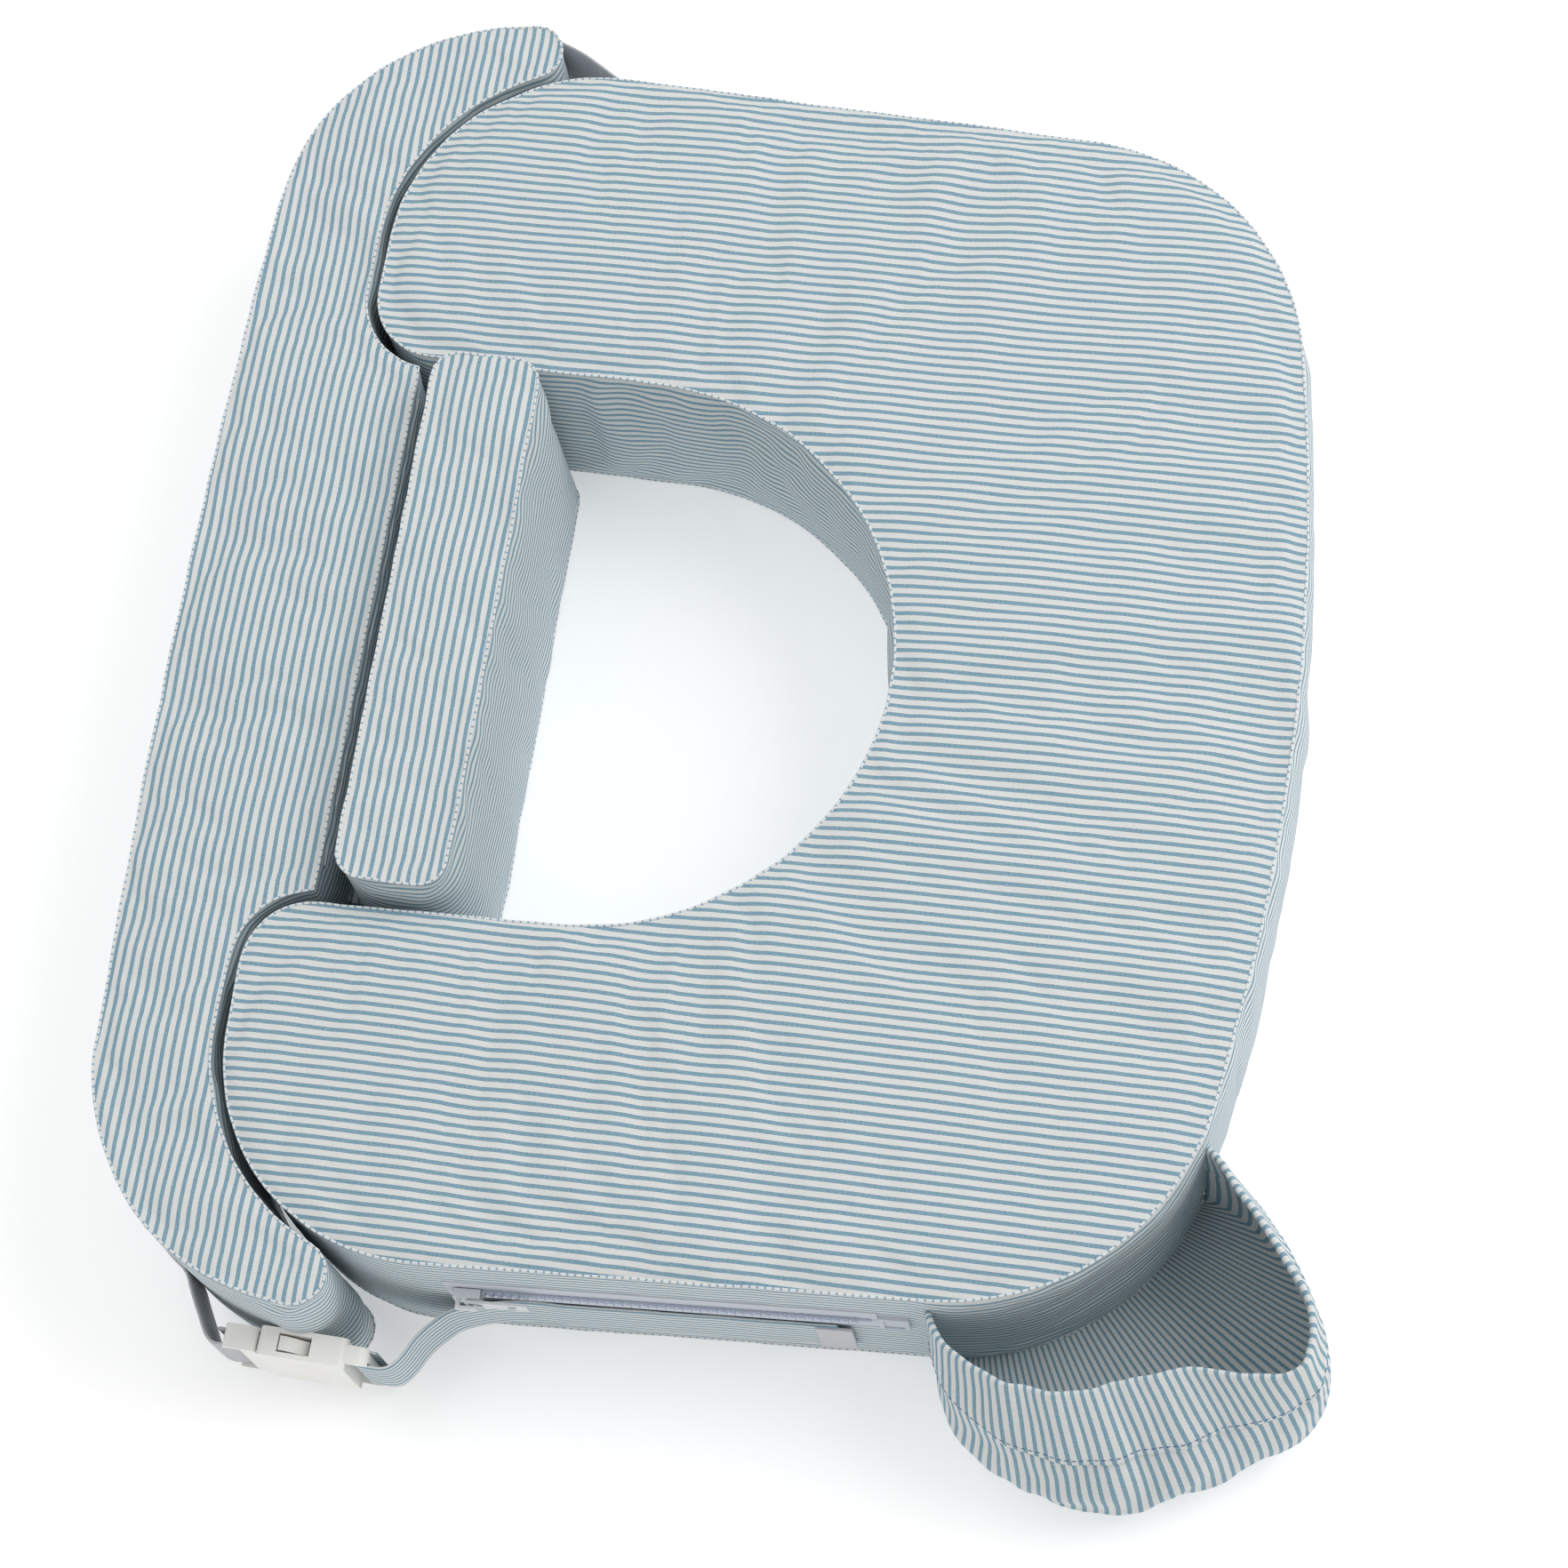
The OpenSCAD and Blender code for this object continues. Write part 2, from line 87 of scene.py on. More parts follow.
def tangent_angle(a, ra, b, rb):
    d = b - a
    return math.degrees(math.atan2(d[1], d[0]) - math.acos((ra - rb) / np.linalg.norm(d)))


def round_radius(x, k, r):
    return (x * x + k * k - r * r) / (2 * (k - r))


SIDE_A = tangent_angle(CORNER, CORNER_R, ARM_END, ARM_END_R)
BELLY_A = math.degrees(math.atan2(ARM_TIP[1], ARM_TIP[0])) - math.degrees(
    math.acos((BELLY_R + ARM_TIP_R) / np.linalg.norm(ARM_TIP))
)
SIDE_FROM = CORNER + CORNER_R * unit(SIDE_A)
SIDE_TO = ARM_END + ARM_END_R * unit(SIDE_A)


def cushion_half():
    front_r = round_radius(CORNER[0], 312.5 + CORNER[1], CORNER_R)
    front_c = np.array([0.0, front_r - 312.5])
    front_a = math.degrees(math.atan2(CORNER[1] - front_c[1], CORNER[0]))
    return (
        arc(front_c, front_r, -90, front_a)
        + arc(CORNER, CORNER_R, front_a, SIDE_A)
        + arc(ARM_END, ARM_END_R, SIDE_A, 90)
        + arc(ARM_TIP, ARM_TIP_R, 90, 180 + BELLY_A)
        + arc(np.zeros(2), BELLY_R, BELLY_A, -90)
    )


def rest_half():
    recess = ARM_END_R + REST_GAP
    lobe = ARM_END + (recess + LOBE_R) * unit(LOBE_TURN)
    out_a = tangent_angle(lobe, LOBE_R, REST_CORNER, REST_CORNER_R) + 360
    rear_r = round_radius(REST_CORNER[0], REST_REAR - REST_CORNER[1], REST_CORNER_R)
    rear_c = np.array([0.0, REST_REAR - rear_r])
    rear_a = math.degrees(math.atan2(REST_CORNER[1] - rear_c[1], REST_CORNER[0]))
    shoulder = ARM_TIP_R + REST_GAP
    shoulder_a = 180 - math.degrees(math.asin((REST_FRONT - ARM_TIP[1]) / shoulder))
    return (
        [np.array([0.0, REST_FRONT])]
        + arc(ARM_TIP, shoulder, shoulder_a, 90)
        + arc(ARM_END, recess, 90, LOBE_TURN)
        + arc(lobe, LOBE_R, LOBE_TURN - 180, out_a)
        + arc(REST_CORNER, REST_CORNER_R, out_a, rear_a)
        + arc(rear_c, rear_r, rear_a, 90)
    )


def pad_outline():
    x, y, r = PAD_L / 2 - PAD_EDGE_R, PAD_T / 2 - PAD_EDGE_R, PAD_EDGE_R
    mid = np.array([0.5, PAD_FRONT + PAD_T / 2])
    loop = []
    for c, a in (((x, -y), -90), ((x, y), 0), ((-x, y), 90), ((-x, -y), 180)):
        loop += arc(mid + np.array(c), r, a, a + 90)
    return loop


def closed(half):
    return half + [np.array([-p[0], p[1]]) for p in reversed(half)]


def resample(loop, step):
    """Evenly spaced points, step apart, round a closed loop in the plan, in metres in the row frame."""
    p = np.array(loop)
    keep = np.linalg.norm(p - np.roll(p, 1, 0), axis=1) > 0.05
    p = p[keep]
    q = np.vstack([p, p[:1]])
    s = np.concatenate([[0], np.cumsum(np.linalg.norm(np.diff(q, axis=0), axis=1))])
    n = int(round(s[-1] / step))
    t = np.arange(n) * s[-1] / n
    return np.stack([np.interp(t, s, q[:, k]) for k in (0, 1)], 1) * MM + ORIGIN


def smooth_noise(p, scale, seed):
    """Smooth noise in -1..1 at points p (n, 3), with one scale for each direction."""
    s = np.asarray(p) * np.asarray(scale) + seed * 17.3
    return np.array([noise.noise(Vector(v)) for v in s])


# ---------------------------------------------------------------- cloth-covered blocks


def inside(points, loop):
    x, y = points[:, 0], points[:, 1]
    hit = np.zeros(len(points), bool)
    for (x0, y0), (x1, y1) in zip(loop, np.roll(loop, -1, 0)):
        cross = (y0 > y) != (y1 > y)
        with np.errstate(divide="ignore", invalid="ignore"):
            hit ^= cross & (x < (x1 - x0) * (y - y0) / (y1 - y0) + x0)
    return hit


def edge_distance(points, loop):
    out = np.full(len(points), 9.0)
    for a, b in zip(loop, np.roll(loop, -1, 0)):
        ab = b - a
        t = np.clip(((points - a) @ ab) / (ab @ ab), 0, 1)
        out = np.minimum(out, np.linalg.norm(points - a - t[:, None] * ab, axis=1))
    return out


def fill_panel(loop, step):
    """Points and triangles that fill a closed loop, its own points first."""
    lo, hi = loop.min(0), loop.max(0)
    rows = np.arange(lo[1], hi[1], step * 0.866)
    grid = [(x + (i % 2) * step / 2, y) for i, y in enumerate(rows) for x in np.arange(lo[0], hi[0], step)]
    grid = np.array(grid)
    grid = grid[inside(grid, loop)]
    grid = grid[edge_distance(grid, loop) > step * 0.55]
    pts = np.vstack([loop, grid])
    n = len(loop)
    edges = [(i, (i + 1) % n) for i in range(n)]
    out = geometry.delaunay_2d_cdt([Vector(p) for p in pts], edges, [], 1, 1e-7)
    verts = np.array([tuple(v) for v in out[0]])
    tris = np.array([f for f in out[2] if len(f) == 3])
    mid = verts[tris].mean(1)
    tris = tris[inside(mid, loop)]
    assert len(verts) == len(pts), "the fill added points"
    return verts, tris


class Block:
    """A closed block of cloth panels: a top, a wall round the edge and a bottom, with shared seam points."""

    def __init__(self, name, loop, z0, z1, step=5 * MM):
        self.name, self.loop = name, loop
        self.n = n = len(loop)
        flat, tris = fill_panel(loop, step)
        rows = int(round((z1 - z0) / step))
        self.rows = rows
        extra = flat[n:]
        verts = []
        for r in range(rows + 1):
            z = z0 + (z1 - z0) * r / rows
            verts.append(np.column_stack([loop, np.full(n, z)]))
        base = n * (rows + 1)
        m = len(extra)
        verts.append(np.column_stack([extra, np.full(m, z1)]))
        verts.append(np.column_stack([extra, np.full(m, z0)]))
        self.verts = np.vstack(verts)
        top = np.where(tris < n, tris + n * rows, tris - n + base)
        low = np.where(tris < n, tris, tris - n + base + m)[:, ::-1]
        area = np.cross(flat[tris[:, 1]] - flat[tris[:, 0]], flat[tris[:, 2]] - flat[tris[:, 0]])
        top = np.where((area < 0)[:, None], top[:, ::-1], top)
        low = np.where((area < 0)[:, None], low[:, ::-1], low)
        self.top, self.low = top, low
        i = np.arange(n)
        j = (i + 1) % n
        self.wall = np.vstack(
            [np.column_stack([r * n + i, r * n + j, (r + 1) * n + j, (r + 1) * n + i]) for r in range(rows)]
        )
        self.is_wall = np.zeros(len(self.verts), bool)
        self.is_wall[: base] = True
        self.seam = np.zeros(len(self.verts), bool)
        self.seam[:n] = True
        self.seam[n * rows : base] = True
        self.is_top = np.zeros(len(self.verts), bool)
        self.is_top[n * rows : base + m] = True
        self.is_top[base : base + m] = True
        length = np.linalg.norm(np.roll(loop, -1, 0) - loop, axis=1)
        self.along = np.concatenate([[0], np.cumsum(length)])[:-1]
        self.perimeter = length.sum()
        tangent = np.roll(loop, -1, 0) - np.roll(loop, 1, 0)
        tangent /= np.linalg.norm(tangent, axis=1)[:, None]
        self.normal2 = np.column_stack([tangent[:, 1], -tangent[:, 0]])
        self.z0, self.z1 = z0, z1

    def faces(self):
        return [tuple(f) for f in self.top] + [tuple(f) for f in self.wall] + [tuple(f) for f in self.low]

    def simulate(self, pressure, slack, cap_of, frames=18):
        """Blows the cloth up with cloth simulation, its seams held, and caps how far each point moves."""
        mesh = bpy.data.meshes.new(self.name + "_sim")
        mesh.from_pydata([tuple(v) for v in self.verts], [], self.faces())
        ob = bpy.data.objects.new(self.name + "_sim", mesh)
        bpy.context.collection.objects.link(ob)
        pin = ob.vertex_groups.new(name="pin")
        pin.add([int(v) for v in np.nonzero(self.seam)[0]], 1.0, "REPLACE")
        mod = ob.modifiers.new("cloth", "CLOTH")
        s = mod.settings
        s.quality = 3
        s.mass = 0.25
        s.tension_stiffness = 12
        s.compression_stiffness = 12
        s.shear_stiffness = 4
        s.bending_stiffness = 0.35
        s.air_damping = 2
        s.use_pressure = True
        s.uniform_pressure_force = pressure
        s.shrink_min = -slack
        s.vertex_group_mass = "pin"
        s.effector_weights.gravity = 0
        mod.collision_settings.use_collision = False
        mod.collision_settings.use_self_collision = False
        mod.point_cache.frame_start, mod.point_cache.frame_end = 1, frames
        scene = bpy.context.scene
        for f in range(1, frames + 1):
            scene.frame_set(f)
        deps = bpy.context.evaluated_depsgraph_get()
        done = ob.evaluated_get(deps).to_mesh()
        out = np.empty(len(done.vertices) * 3)
        done.vertices.foreach_get("co", out)
        ob.evaluated_get(deps).to_mesh_clear()
        bpy.data.objects.remove(ob)
        bpy.data.meshes.remove(mesh)
        scene.frame_set(1)
        move = out.reshape(-1, 3) - self.verts
        cap = cap_of(self)
        broad = self.relax(move, 30)
        fine = move - broad
        size = np.linalg.norm(broad, axis=1)
        broad *= (cap / np.sqrt(size**2 + cap**2 + 1e-12))[:, None]
        small = np.minimum(cap * 0.6, 1.6 * MM)
        size = np.linalg.norm(fine, axis=1)
        fine *= (small / np.sqrt(size**2 + small**2 + 1e-12))[:, None]
        self.verts = self.verts + broad + fine

    def relax(self, move, rounds):
        """The broad part of a movement: each point takes its neighbours' mean again and again, seams held."""
        pairs = set()
        for f in self.faces():
            for a, b in zip(f, f[1:] + f[:1]):
                pairs.add((min(a, b), max(a, b)))
        a, b = np.array(sorted(pairs)).T
        count = np.bincount(a, minlength=len(move)) + np.bincount(b, minlength=len(move))
        out = move.copy()
        for _ in range(rounds):
            total = np.zeros_like(out)
            for k in range(3):
                total[:, k] = np.bincount(a, out[b, k], len(out)) + np.bincount(b, out[a, k], len(out))
            out = 0.5 * out + 0.5 * total / np.maximum(count, 1)[:, None]
            out[self.seam] = 0
        return out

    def wall_depth(self):
        return (self.verts[:, 2] - self.z0) / (self.z1 - self.z0)

    def flat_uv(self, axis, phase=0.0):
        rest = self.rest

        def uv(faces):
            p = rest[faces.ravel()][:, :2]
            return p[:, [0, 1]] + [phase, 0] if axis == "x" else p[:, [1, 0]] + [phase, 0]

        return uv

    def wall_uv(self, phase=0.0):
        def uv(faces):
            k = faces.ravel()
            s = self.along[k % self.n]
            first = np.repeat(self.along[faces[:, 0] % self.n], faces.shape[1])
            s = np.where(s < first - self.perimeter / 2, s + self.perimeter, s)
            return np.column_stack([self.rest[k][:, 2] + phase, s])

        return uv


def add_object(name, verts, faces, material, uv=None, smooth=True):
    mesh = bpy.data.meshes.new(name)
    mesh.from_pydata([tuple(v) for v in verts], [], [tuple(int(i) for i in f) for f in faces])
    if uv is not None:
        layer = mesh.uv_layers.new(name="cloth")
        uv = np.asarray(uv, float)
        if len(uv) == len(verts):
            uv = uv[[i for f in faces for i in f]]
        layer.data.foreach_set("uv", uv.ravel())
    mesh.polygons.foreach_set("use_smooth", [smooth] * len(mesh.polygons))
    mesh.materials.append(material)
    ob = bpy.data.objects.new(name, mesh)
    bpy.context.collection.objects.link(ob)
    return ob


def tube(name, path, radius, material, sides=6):
    """A round cord along a closed path of 3-D points, with its length in the cloth coordinates."""
    p = np.asarray(path)
    n = len(p)
    d = np.roll(p, -1, 0) - np.roll(p, 1, 0)
    d /= np.linalg.norm(d, axis=1)[:, None]
    up = np.tile([0.0, 0.0, 1.0], (n, 1))
    side = np.cross(d, up)
    flat = np.linalg.norm(side, axis=1) < 0.2
    side[flat] = np.cross(d[flat], [1.0, 0.0, 0.0])
    side /= np.linalg.norm(side, axis=1)[:, None]
    up = np.cross(side, d)
    a = np.arange(sides) * 2 * np.pi / sides
    ring = np.cos(a)[None, :, None] * side[:, None, :] + np.sin(a)[None, :, None] * up[:, None, :]
    verts = (p[:, None, :] + radius * ring).reshape(-1, 3)
    step = np.linalg.norm(np.roll(p, -1, 0) - p, axis=1)
    s = np.concatenate([[0], np.cumsum(step)])
    faces, uv = [], []
    for i in range(n):
        j = (i + 1) % n
        for k in range(sides):
            q = (k + 1) % sides
            faces.append((i * sides + k, j * sides + k, j * sides + q, i * sides + q))
            a, b = k / sides, (k + 1) / sides
            uv += [(a, s[i]), (a, s[i + 1]), (b, s[i + 1]), (b, s[i])]
    return add_object(name, verts, faces, material, uv)


# ---------------------------------------------------------------- materials


class Nodes:
    """Small helper that builds a node material."""

    def __init__(self, name, roughness, sheen=0.0, specular=0.3):
        self.mat = bpy.data.materials.new(name)
        self.mat.use_nodes = True
        self.tree = self.mat.node_tree
        self.shader = self.tree.nodes["Principled BSDF"]
        self.shader.inputs["Roughness"].default_value = roughness
        self.shader.inputs["Specular IOR Level"].default_value = specular
        self.shader.inputs["Sheen Weight"].default_value = sheen
        self.shader.inputs["Sheen Roughness"].default_value = 0.6

    def new(self, kind, **values):
        node = self.tree.nodes.new(kind)
        for k, v in values.items():
            setattr(node, k, v)
        return node

    def put(self, target, value):
        if hasattr(value, "is_output") or isinstance(value, bpy.types.NodeSocket):
            self.tree.links.new(value, target)
        else:
            target.default_value = value

    def math(self, op, a, b=0.0, c=0.0, clamp=False):
        n = self.new("ShaderNodeMath", operation=op, use_clamp=clamp)
        for i, v in enumerate((a, b, c)):
            self.put(n.inputs[i], v)
        return n.outputs[0]

    def mix(self, factor, a, b):
        n = self.new("ShaderNodeMix", data_type="RGBA")
        self.put(n.inputs["Factor"], factor)
        self.put(n.inputs["A"], a)
        self.put(n.inputs["B"], b)
        return n.outputs["Result"]

    def noise(self, vector, scale, detail=2.0, rough=0.5):
        n = self.new("ShaderNodeTexNoise")
        self.put(n.inputs["Vector"], vector)
        n.inputs["Scale"].default_value = scale
        n.inputs["Detail"].default_value = detail
        n.inputs["Roughness"].default_value = rough
        return n.outputs["Fac"]

    def vector(self, x, y, z=0.0):
        n = self.new("ShaderNodeCombineXYZ")
        for i, v in enumerate((x, y, z)):
            self.put(n.inputs[i], v)
        return n.outputs[0]

    def ramp(self, value, lo, hi):
        n = self.new("ShaderNodeMapRange", interpolation_type="SMOOTHSTEP")
        self.put(n.inputs["Value"], value)
        n.inputs["From Min"].default_value = lo
        n.inputs["From Max"].default_value = hi
        return n.outputs[0]

    def bump(self, height, strength, distance):
        n = self.new("ShaderNodeBump")
        n.inputs["Strength"].default_value = strength
        n.inputs["Distance"].default_value = distance
        self.put(n.inputs["Height"], height)
        self.tree.links.new(n.outputs[0], self.shader.inputs["Normal"])

    def colour(self, value):
        self.put(self.shader.inputs["Base Color"], value)


def srgb(r, g, b):
    f = lambda c: c / 12.92 if c <= 0.04045 else ((c + 0.055) / 1.055) ** 2.4
    return (f(r / 255), f(g / 255), f(b / 255), 1.0)


def cloth_uv(m):
    n = m.new("ShaderNodeUVMap", uv_map="cloth")
    s = m.new("ShaderNodeSeparateXYZ")
    m.tree.links.new(n.outputs[0], s.inputs[0])
    return n.outputs[0], s.outputs[0], s.outputs[1]


THREAD = 0.42 * MM


def woven_height(m, across, along, thread):
    """Plain weave: warp and weft threads that pass over each other in turn."""
    k = 2 * math.pi / thread
    a = m.math("SINE", m.math("MULTIPLY", across, k))
    b = m.math("SINE", m.math("MULTIPLY", along, k))
    return m.math("MULTIPLY_ADD", m.math("MULTIPLY", a, b), 0.5, 0.5)


def striped_cotton(name="striped_cotton", white=srgb(230, 232, 230), blue=srgb(102, 150, 173), stripe=0.42):
    m = Nodes(name, roughness=0.9, sheen=0.06, specular=0.15)
    uv, across, along = cloth_uv(m)
    drift = m.math("SUBTRACT", m.noise(uv, 14.0, 1.0), 0.5)
    wob = m.math("SUBTRACT", m.noise(uv, 260.0, 2.0), 0.5)
    x = m.math("MULTIPLY_ADD", across, 1 / PITCH, 0.0)
    x = m.math("MULTIPLY_ADD", drift, 0.24, x)
    x = m.math("MULTIPLY_ADD", wob, 0.06, x)
    tri = m.math("PINGPONG", x, 0.5)
    edge = 0.5 * stripe
    band = m.math("SUBTRACT", 1.0, m.ramp(tri, edge - 0.028, edge + 0.028))
    grain = m.vector(m.math("MULTIPLY", across, 2400.0), m.math("MULTIPLY", along, 900.0))
    fibre = m.noise(grain, 1.0, 3.0, 0.6)
    fade = m.noise(uv, 60.0, 3.0)
    blue_var = m.mix(m.ramp(fibre, 0.3, 0.72), blue, tuple(0.72 * c + 0.28 * w for c, w in zip(blue, white)))
    white_var = m.mix(m.ramp(fibre, 0.25, 0.7), tuple(0.93 * c for c in white[:3]) + (1.0,), white)
    col = m.mix(band, white_var, blue_var)
    col = m.mix(m.math("MULTIPLY", fade, 0.10), col, srgb(205, 214, 220))
    m.colour(col)
    weave = woven_height(m, across, along, THREAD)
    slub = m.noise(m.vector(m.math("MULTIPLY", across, 1500.0), m.math("MULTIPLY", along, 220.0)), 1.0, 2.0)
    soft = m.noise(uv, 170.0, 2.0)
    h = m.math("MULTIPLY_ADD", weave, 0.5, m.math("MULTIPLY", slub, 0.5))
    h = m.math("MULTIPLY_ADD", soft, 1.6, h)
    m.bump(h, 0.55, 0.25 * MM)
    return m.mat


def seam_thread():
    m = Nodes("seam_thread", roughness=0.85, sheen=0.1, specular=0.2)
    uv, across, along = cloth_uv(m)
    beat = m.math("FRACT", m.math("MULTIPLY", along, 1 / (3.4 * MM)))
    dash = m.ramp(beat, 0.68, 0.74)
    fuzz = m.noise(m.vector(m.math("MULTIPLY", across, 8.0), m.math("MULTIPLY", along, 2600.0)), 1.0, 2.0)
    white = m.mix(fuzz, srgb(222, 226, 228), srgb(240, 241, 240))
    blue = m.mix(fuzz, srgb(134, 164, 184), srgb(170, 192, 205))
    m.colour(m.mix(dash, white, blue))
    lean = m.math("MULTIPLY", across, 6.28)
    twist = m.math("SINE", m.math("MULTIPLY_ADD", along, 2 * math.pi / (0.9 * MM), lean))
    m.bump(m.math("MULTIPLY_ADD", twist, 0.4, fuzz), 0.5, 0.2 * MM)
    return m.mat


def webbing(name, light, dark, edge_fuzz):
    m = Nodes(name, roughness=0.92, sheen=0.2, specular=0.15)
    uv, across, along = cloth_uv(m)
    k = 2 * math.pi
    slope = m.math("MULTIPLY", across, k / (1.5 * MM))
    twill = m.math("SINE", m.math("MULTIPLY_ADD", along, k / (1.3 * MM), slope))
    rib = m.math("SINE", m.math("MULTIPLY", along, k / (2.1 * MM)))
    hairs = m.vector(m.math("MULTIPLY", across, 900.0), m.math("MULTIPLY", along, 900.0))
    fuzz = m.noise(hairs, 1.0, 4.0, 0.7)
    blot = m.noise(uv, 40.0, 3.0)
    t = m.math("MULTIPLY_ADD", fuzz, 0.7, m.math("MULTIPLY", blot, 0.25))
    t = m.math("MULTIPLY_ADD", twill, 0.12, t, clamp=True)
    m.colour(m.mix(t, dark, light))
    h = m.math("MULTIPLY_ADD", twill, 0.3, m.math("MULTIPLY", fuzz, edge_fuzz))
    h = m.math("MULTIPLY_ADD", rib, 0.35, h)
    m.bump(h, 0.7, 0.35 * MM)
    return m.mat


def moulded_plastic():
    m = Nodes("moulded_plastic", roughness=0.38, specular=0.5)
    co = m.new("ShaderNodeTexCoord").outputs["Object"]
    grain = m.noise(co, 2600.0, 2.0)
    flow = m.noise(co, 45.0, 3.0)
    m.colour(m.mix(m.math("MULTIPLY", flow, 0.8, clamp=True), srgb(252, 251, 248), srgb(242, 239, 231)))
    rough = m.math("MULTIPLY_ADD", flow, 0.18, 0.30)
    m.put(m.shader.inputs["Roughness"], rough)
    m.shader.inputs["Subsurface Weight"].default_value = 0.12
    m.shader.inputs["Subsurface Radius"].default_value = (0.004, 0.004, 0.003)
    m.bump(m.math("MULTIPLY_ADD", grain, 0.3, flow), 0.12, 0.2 * MM)
    return m.mat


def zip_material(name, light, dark, metal=0.0, rough=0.5):
    m = Nodes(name, roughness=rough, specular=0.4)
    co = m.new("ShaderNodeTexCoord").outputs["Object"]
    n = m.noise(co, 900.0, 3.0)
    m.colour(m.mix(n, dark, light))
    m.shader.inputs["Metallic"].default_value = metal
    m.bump(n, 0.25, 0.1 * MM)
    return m.mat


STRIPE = striped_cotton()
THREADS = seam_thread()
GREY_WEB = webbing("grey_webbing", srgb(226, 226, 229), srgb(178, 180, 186), 1.4)
PLASTIC = moulded_plastic()
ZIP_TAPE = webbing("zip_tape", srgb(222, 226, 232), srgb(186, 194, 206), 0.6)
ZIP_NYLON = zip_material("zip_nylon", srgb(214, 220, 232), srgb(168, 178, 200))
ZIP_METAL = zip_material("zip_metal", srgb(232, 234, 236), srgb(196, 200, 206), 0.35, 0.32)
BLUE_THREAD = zip_material("blue_thread", srgb(96, 128, 168), srgb(48, 76, 116), 0.0, 0.8)


def plan(p):
    """A plan point in mm about the belly opening's middle, in metres in the row frame."""
    return np.asarray(p, float) * MM + ORIGIN


def dress(node, material, bevel=0.0, segments=2):
    """Gives a CAD node its finish, and rounds its edges."""
    ob = bpy.data.objects[node]
    ob.data.materials.clear()
    ob.data.materials.append(material)
    if bevel:
        mod = ob.modifiers.new("edges", "BEVEL")
        mod.width, mod.segments, mod.limit_method = bevel, segments, "ANGLE"
        mod.angle_limit = math.radians(35)
        mod.use_clamp_overlap = True
    return ob


def settle(ob, body, slot, *nodes):
    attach(ob, body)
    if nodes:
        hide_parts(*nodes)
    return ob


# ---------------------------------------------------------------- the three cloth-covered cushions


def bump_at(x, c, w):
    return np.exp(-(((x - c) / w) ** 2))


def crease_field(p, along, across, seed):
    """Soft folds: ridges that are long one way and short the other, strong in places."""
    a = smooth_noise(p, (1 / along, 1 / across, 0.0), seed)
    b = smooth_noise(p, (1.7 / along, 1.9 / across, 0.0), seed + 3)
    where = smooth_noise(p, (6.0, 6.0, 0.0), seed + 7)
    return (a + 0.45 * b) * (0.55 + 0.6 * where)


def seam_wobble(block, seed, amount):
    """Hand-sewn seams: the seam loops wander a little, before the cloth is blown up."""
    i = np.nonzero(block.seam)[0]
    s = block.along[i % block.n] * 2 * math.pi / block.perimeter
    ring = np.column_stack([np.cos(s), np.sin(s)]) * block.perimeter / (2 * math.pi)
    p = np.column_stack([ring, block.verts[i, 2] * 3])
    a = smooth_noise(p, (38, 38, 38), seed) + 0.6 * smooth_noise(p, (95, 95, 95), seed + 1)
    b = smooth_noise(p, (30, 30, 30), seed + 2) + 0.6 * smooth_noise(p, (80, 80, 80), seed + 5)
    block.verts[i, :2] += block.normal2[i % block.n] * (amount * a)[:, None]
    block.verts[i, 2] += amount * 0.8 * b


def shape_block(block, seed, cap_of, folds_of, pressure, slack):
    block.rest = block.verts.copy()
    seam_wobble(block, seed, 0.6 * MM)
    block.simulate(pressure, slack, cap_of)
    folds_of(block)
    block.verts[:, 2] = np.maximum(block.verts[:, 2], 0.2 * MM)
    return block


def wall_puckers(block, seed, amount, cap):
    """Short creases that run in from both seams of the wall, and softer ones across its middle."""
    i = np.nonzero(block.is_wall & ~block.seam)[0]
    s = block.along[i % block.n] * 2 * math.pi / block.perimeter
    ring = np.column_stack([np.cos(s), np.sin(s)]) * block.perimeter / (2 * math.pi)
    w = block.wall_depth()[i]
    p = np.column_stack([ring, block.rest[i, 2]])
    fine = smooth_noise(p, (85, 85, 12), seed) * (np.exp(-w / 0.16) + np.exp(-(1 - w) / 0.16))
    broad = smooth_noise(p, (34, 34, 9), seed + 4) * np.sin(np.pi * w)
    k = np.minimum(cap[i] * 0.5, amount)
    block.verts[i, :2] += block.normal2[i % block.n] * ((0.9 * fine + 1.1 * broad) * k)[:, None]


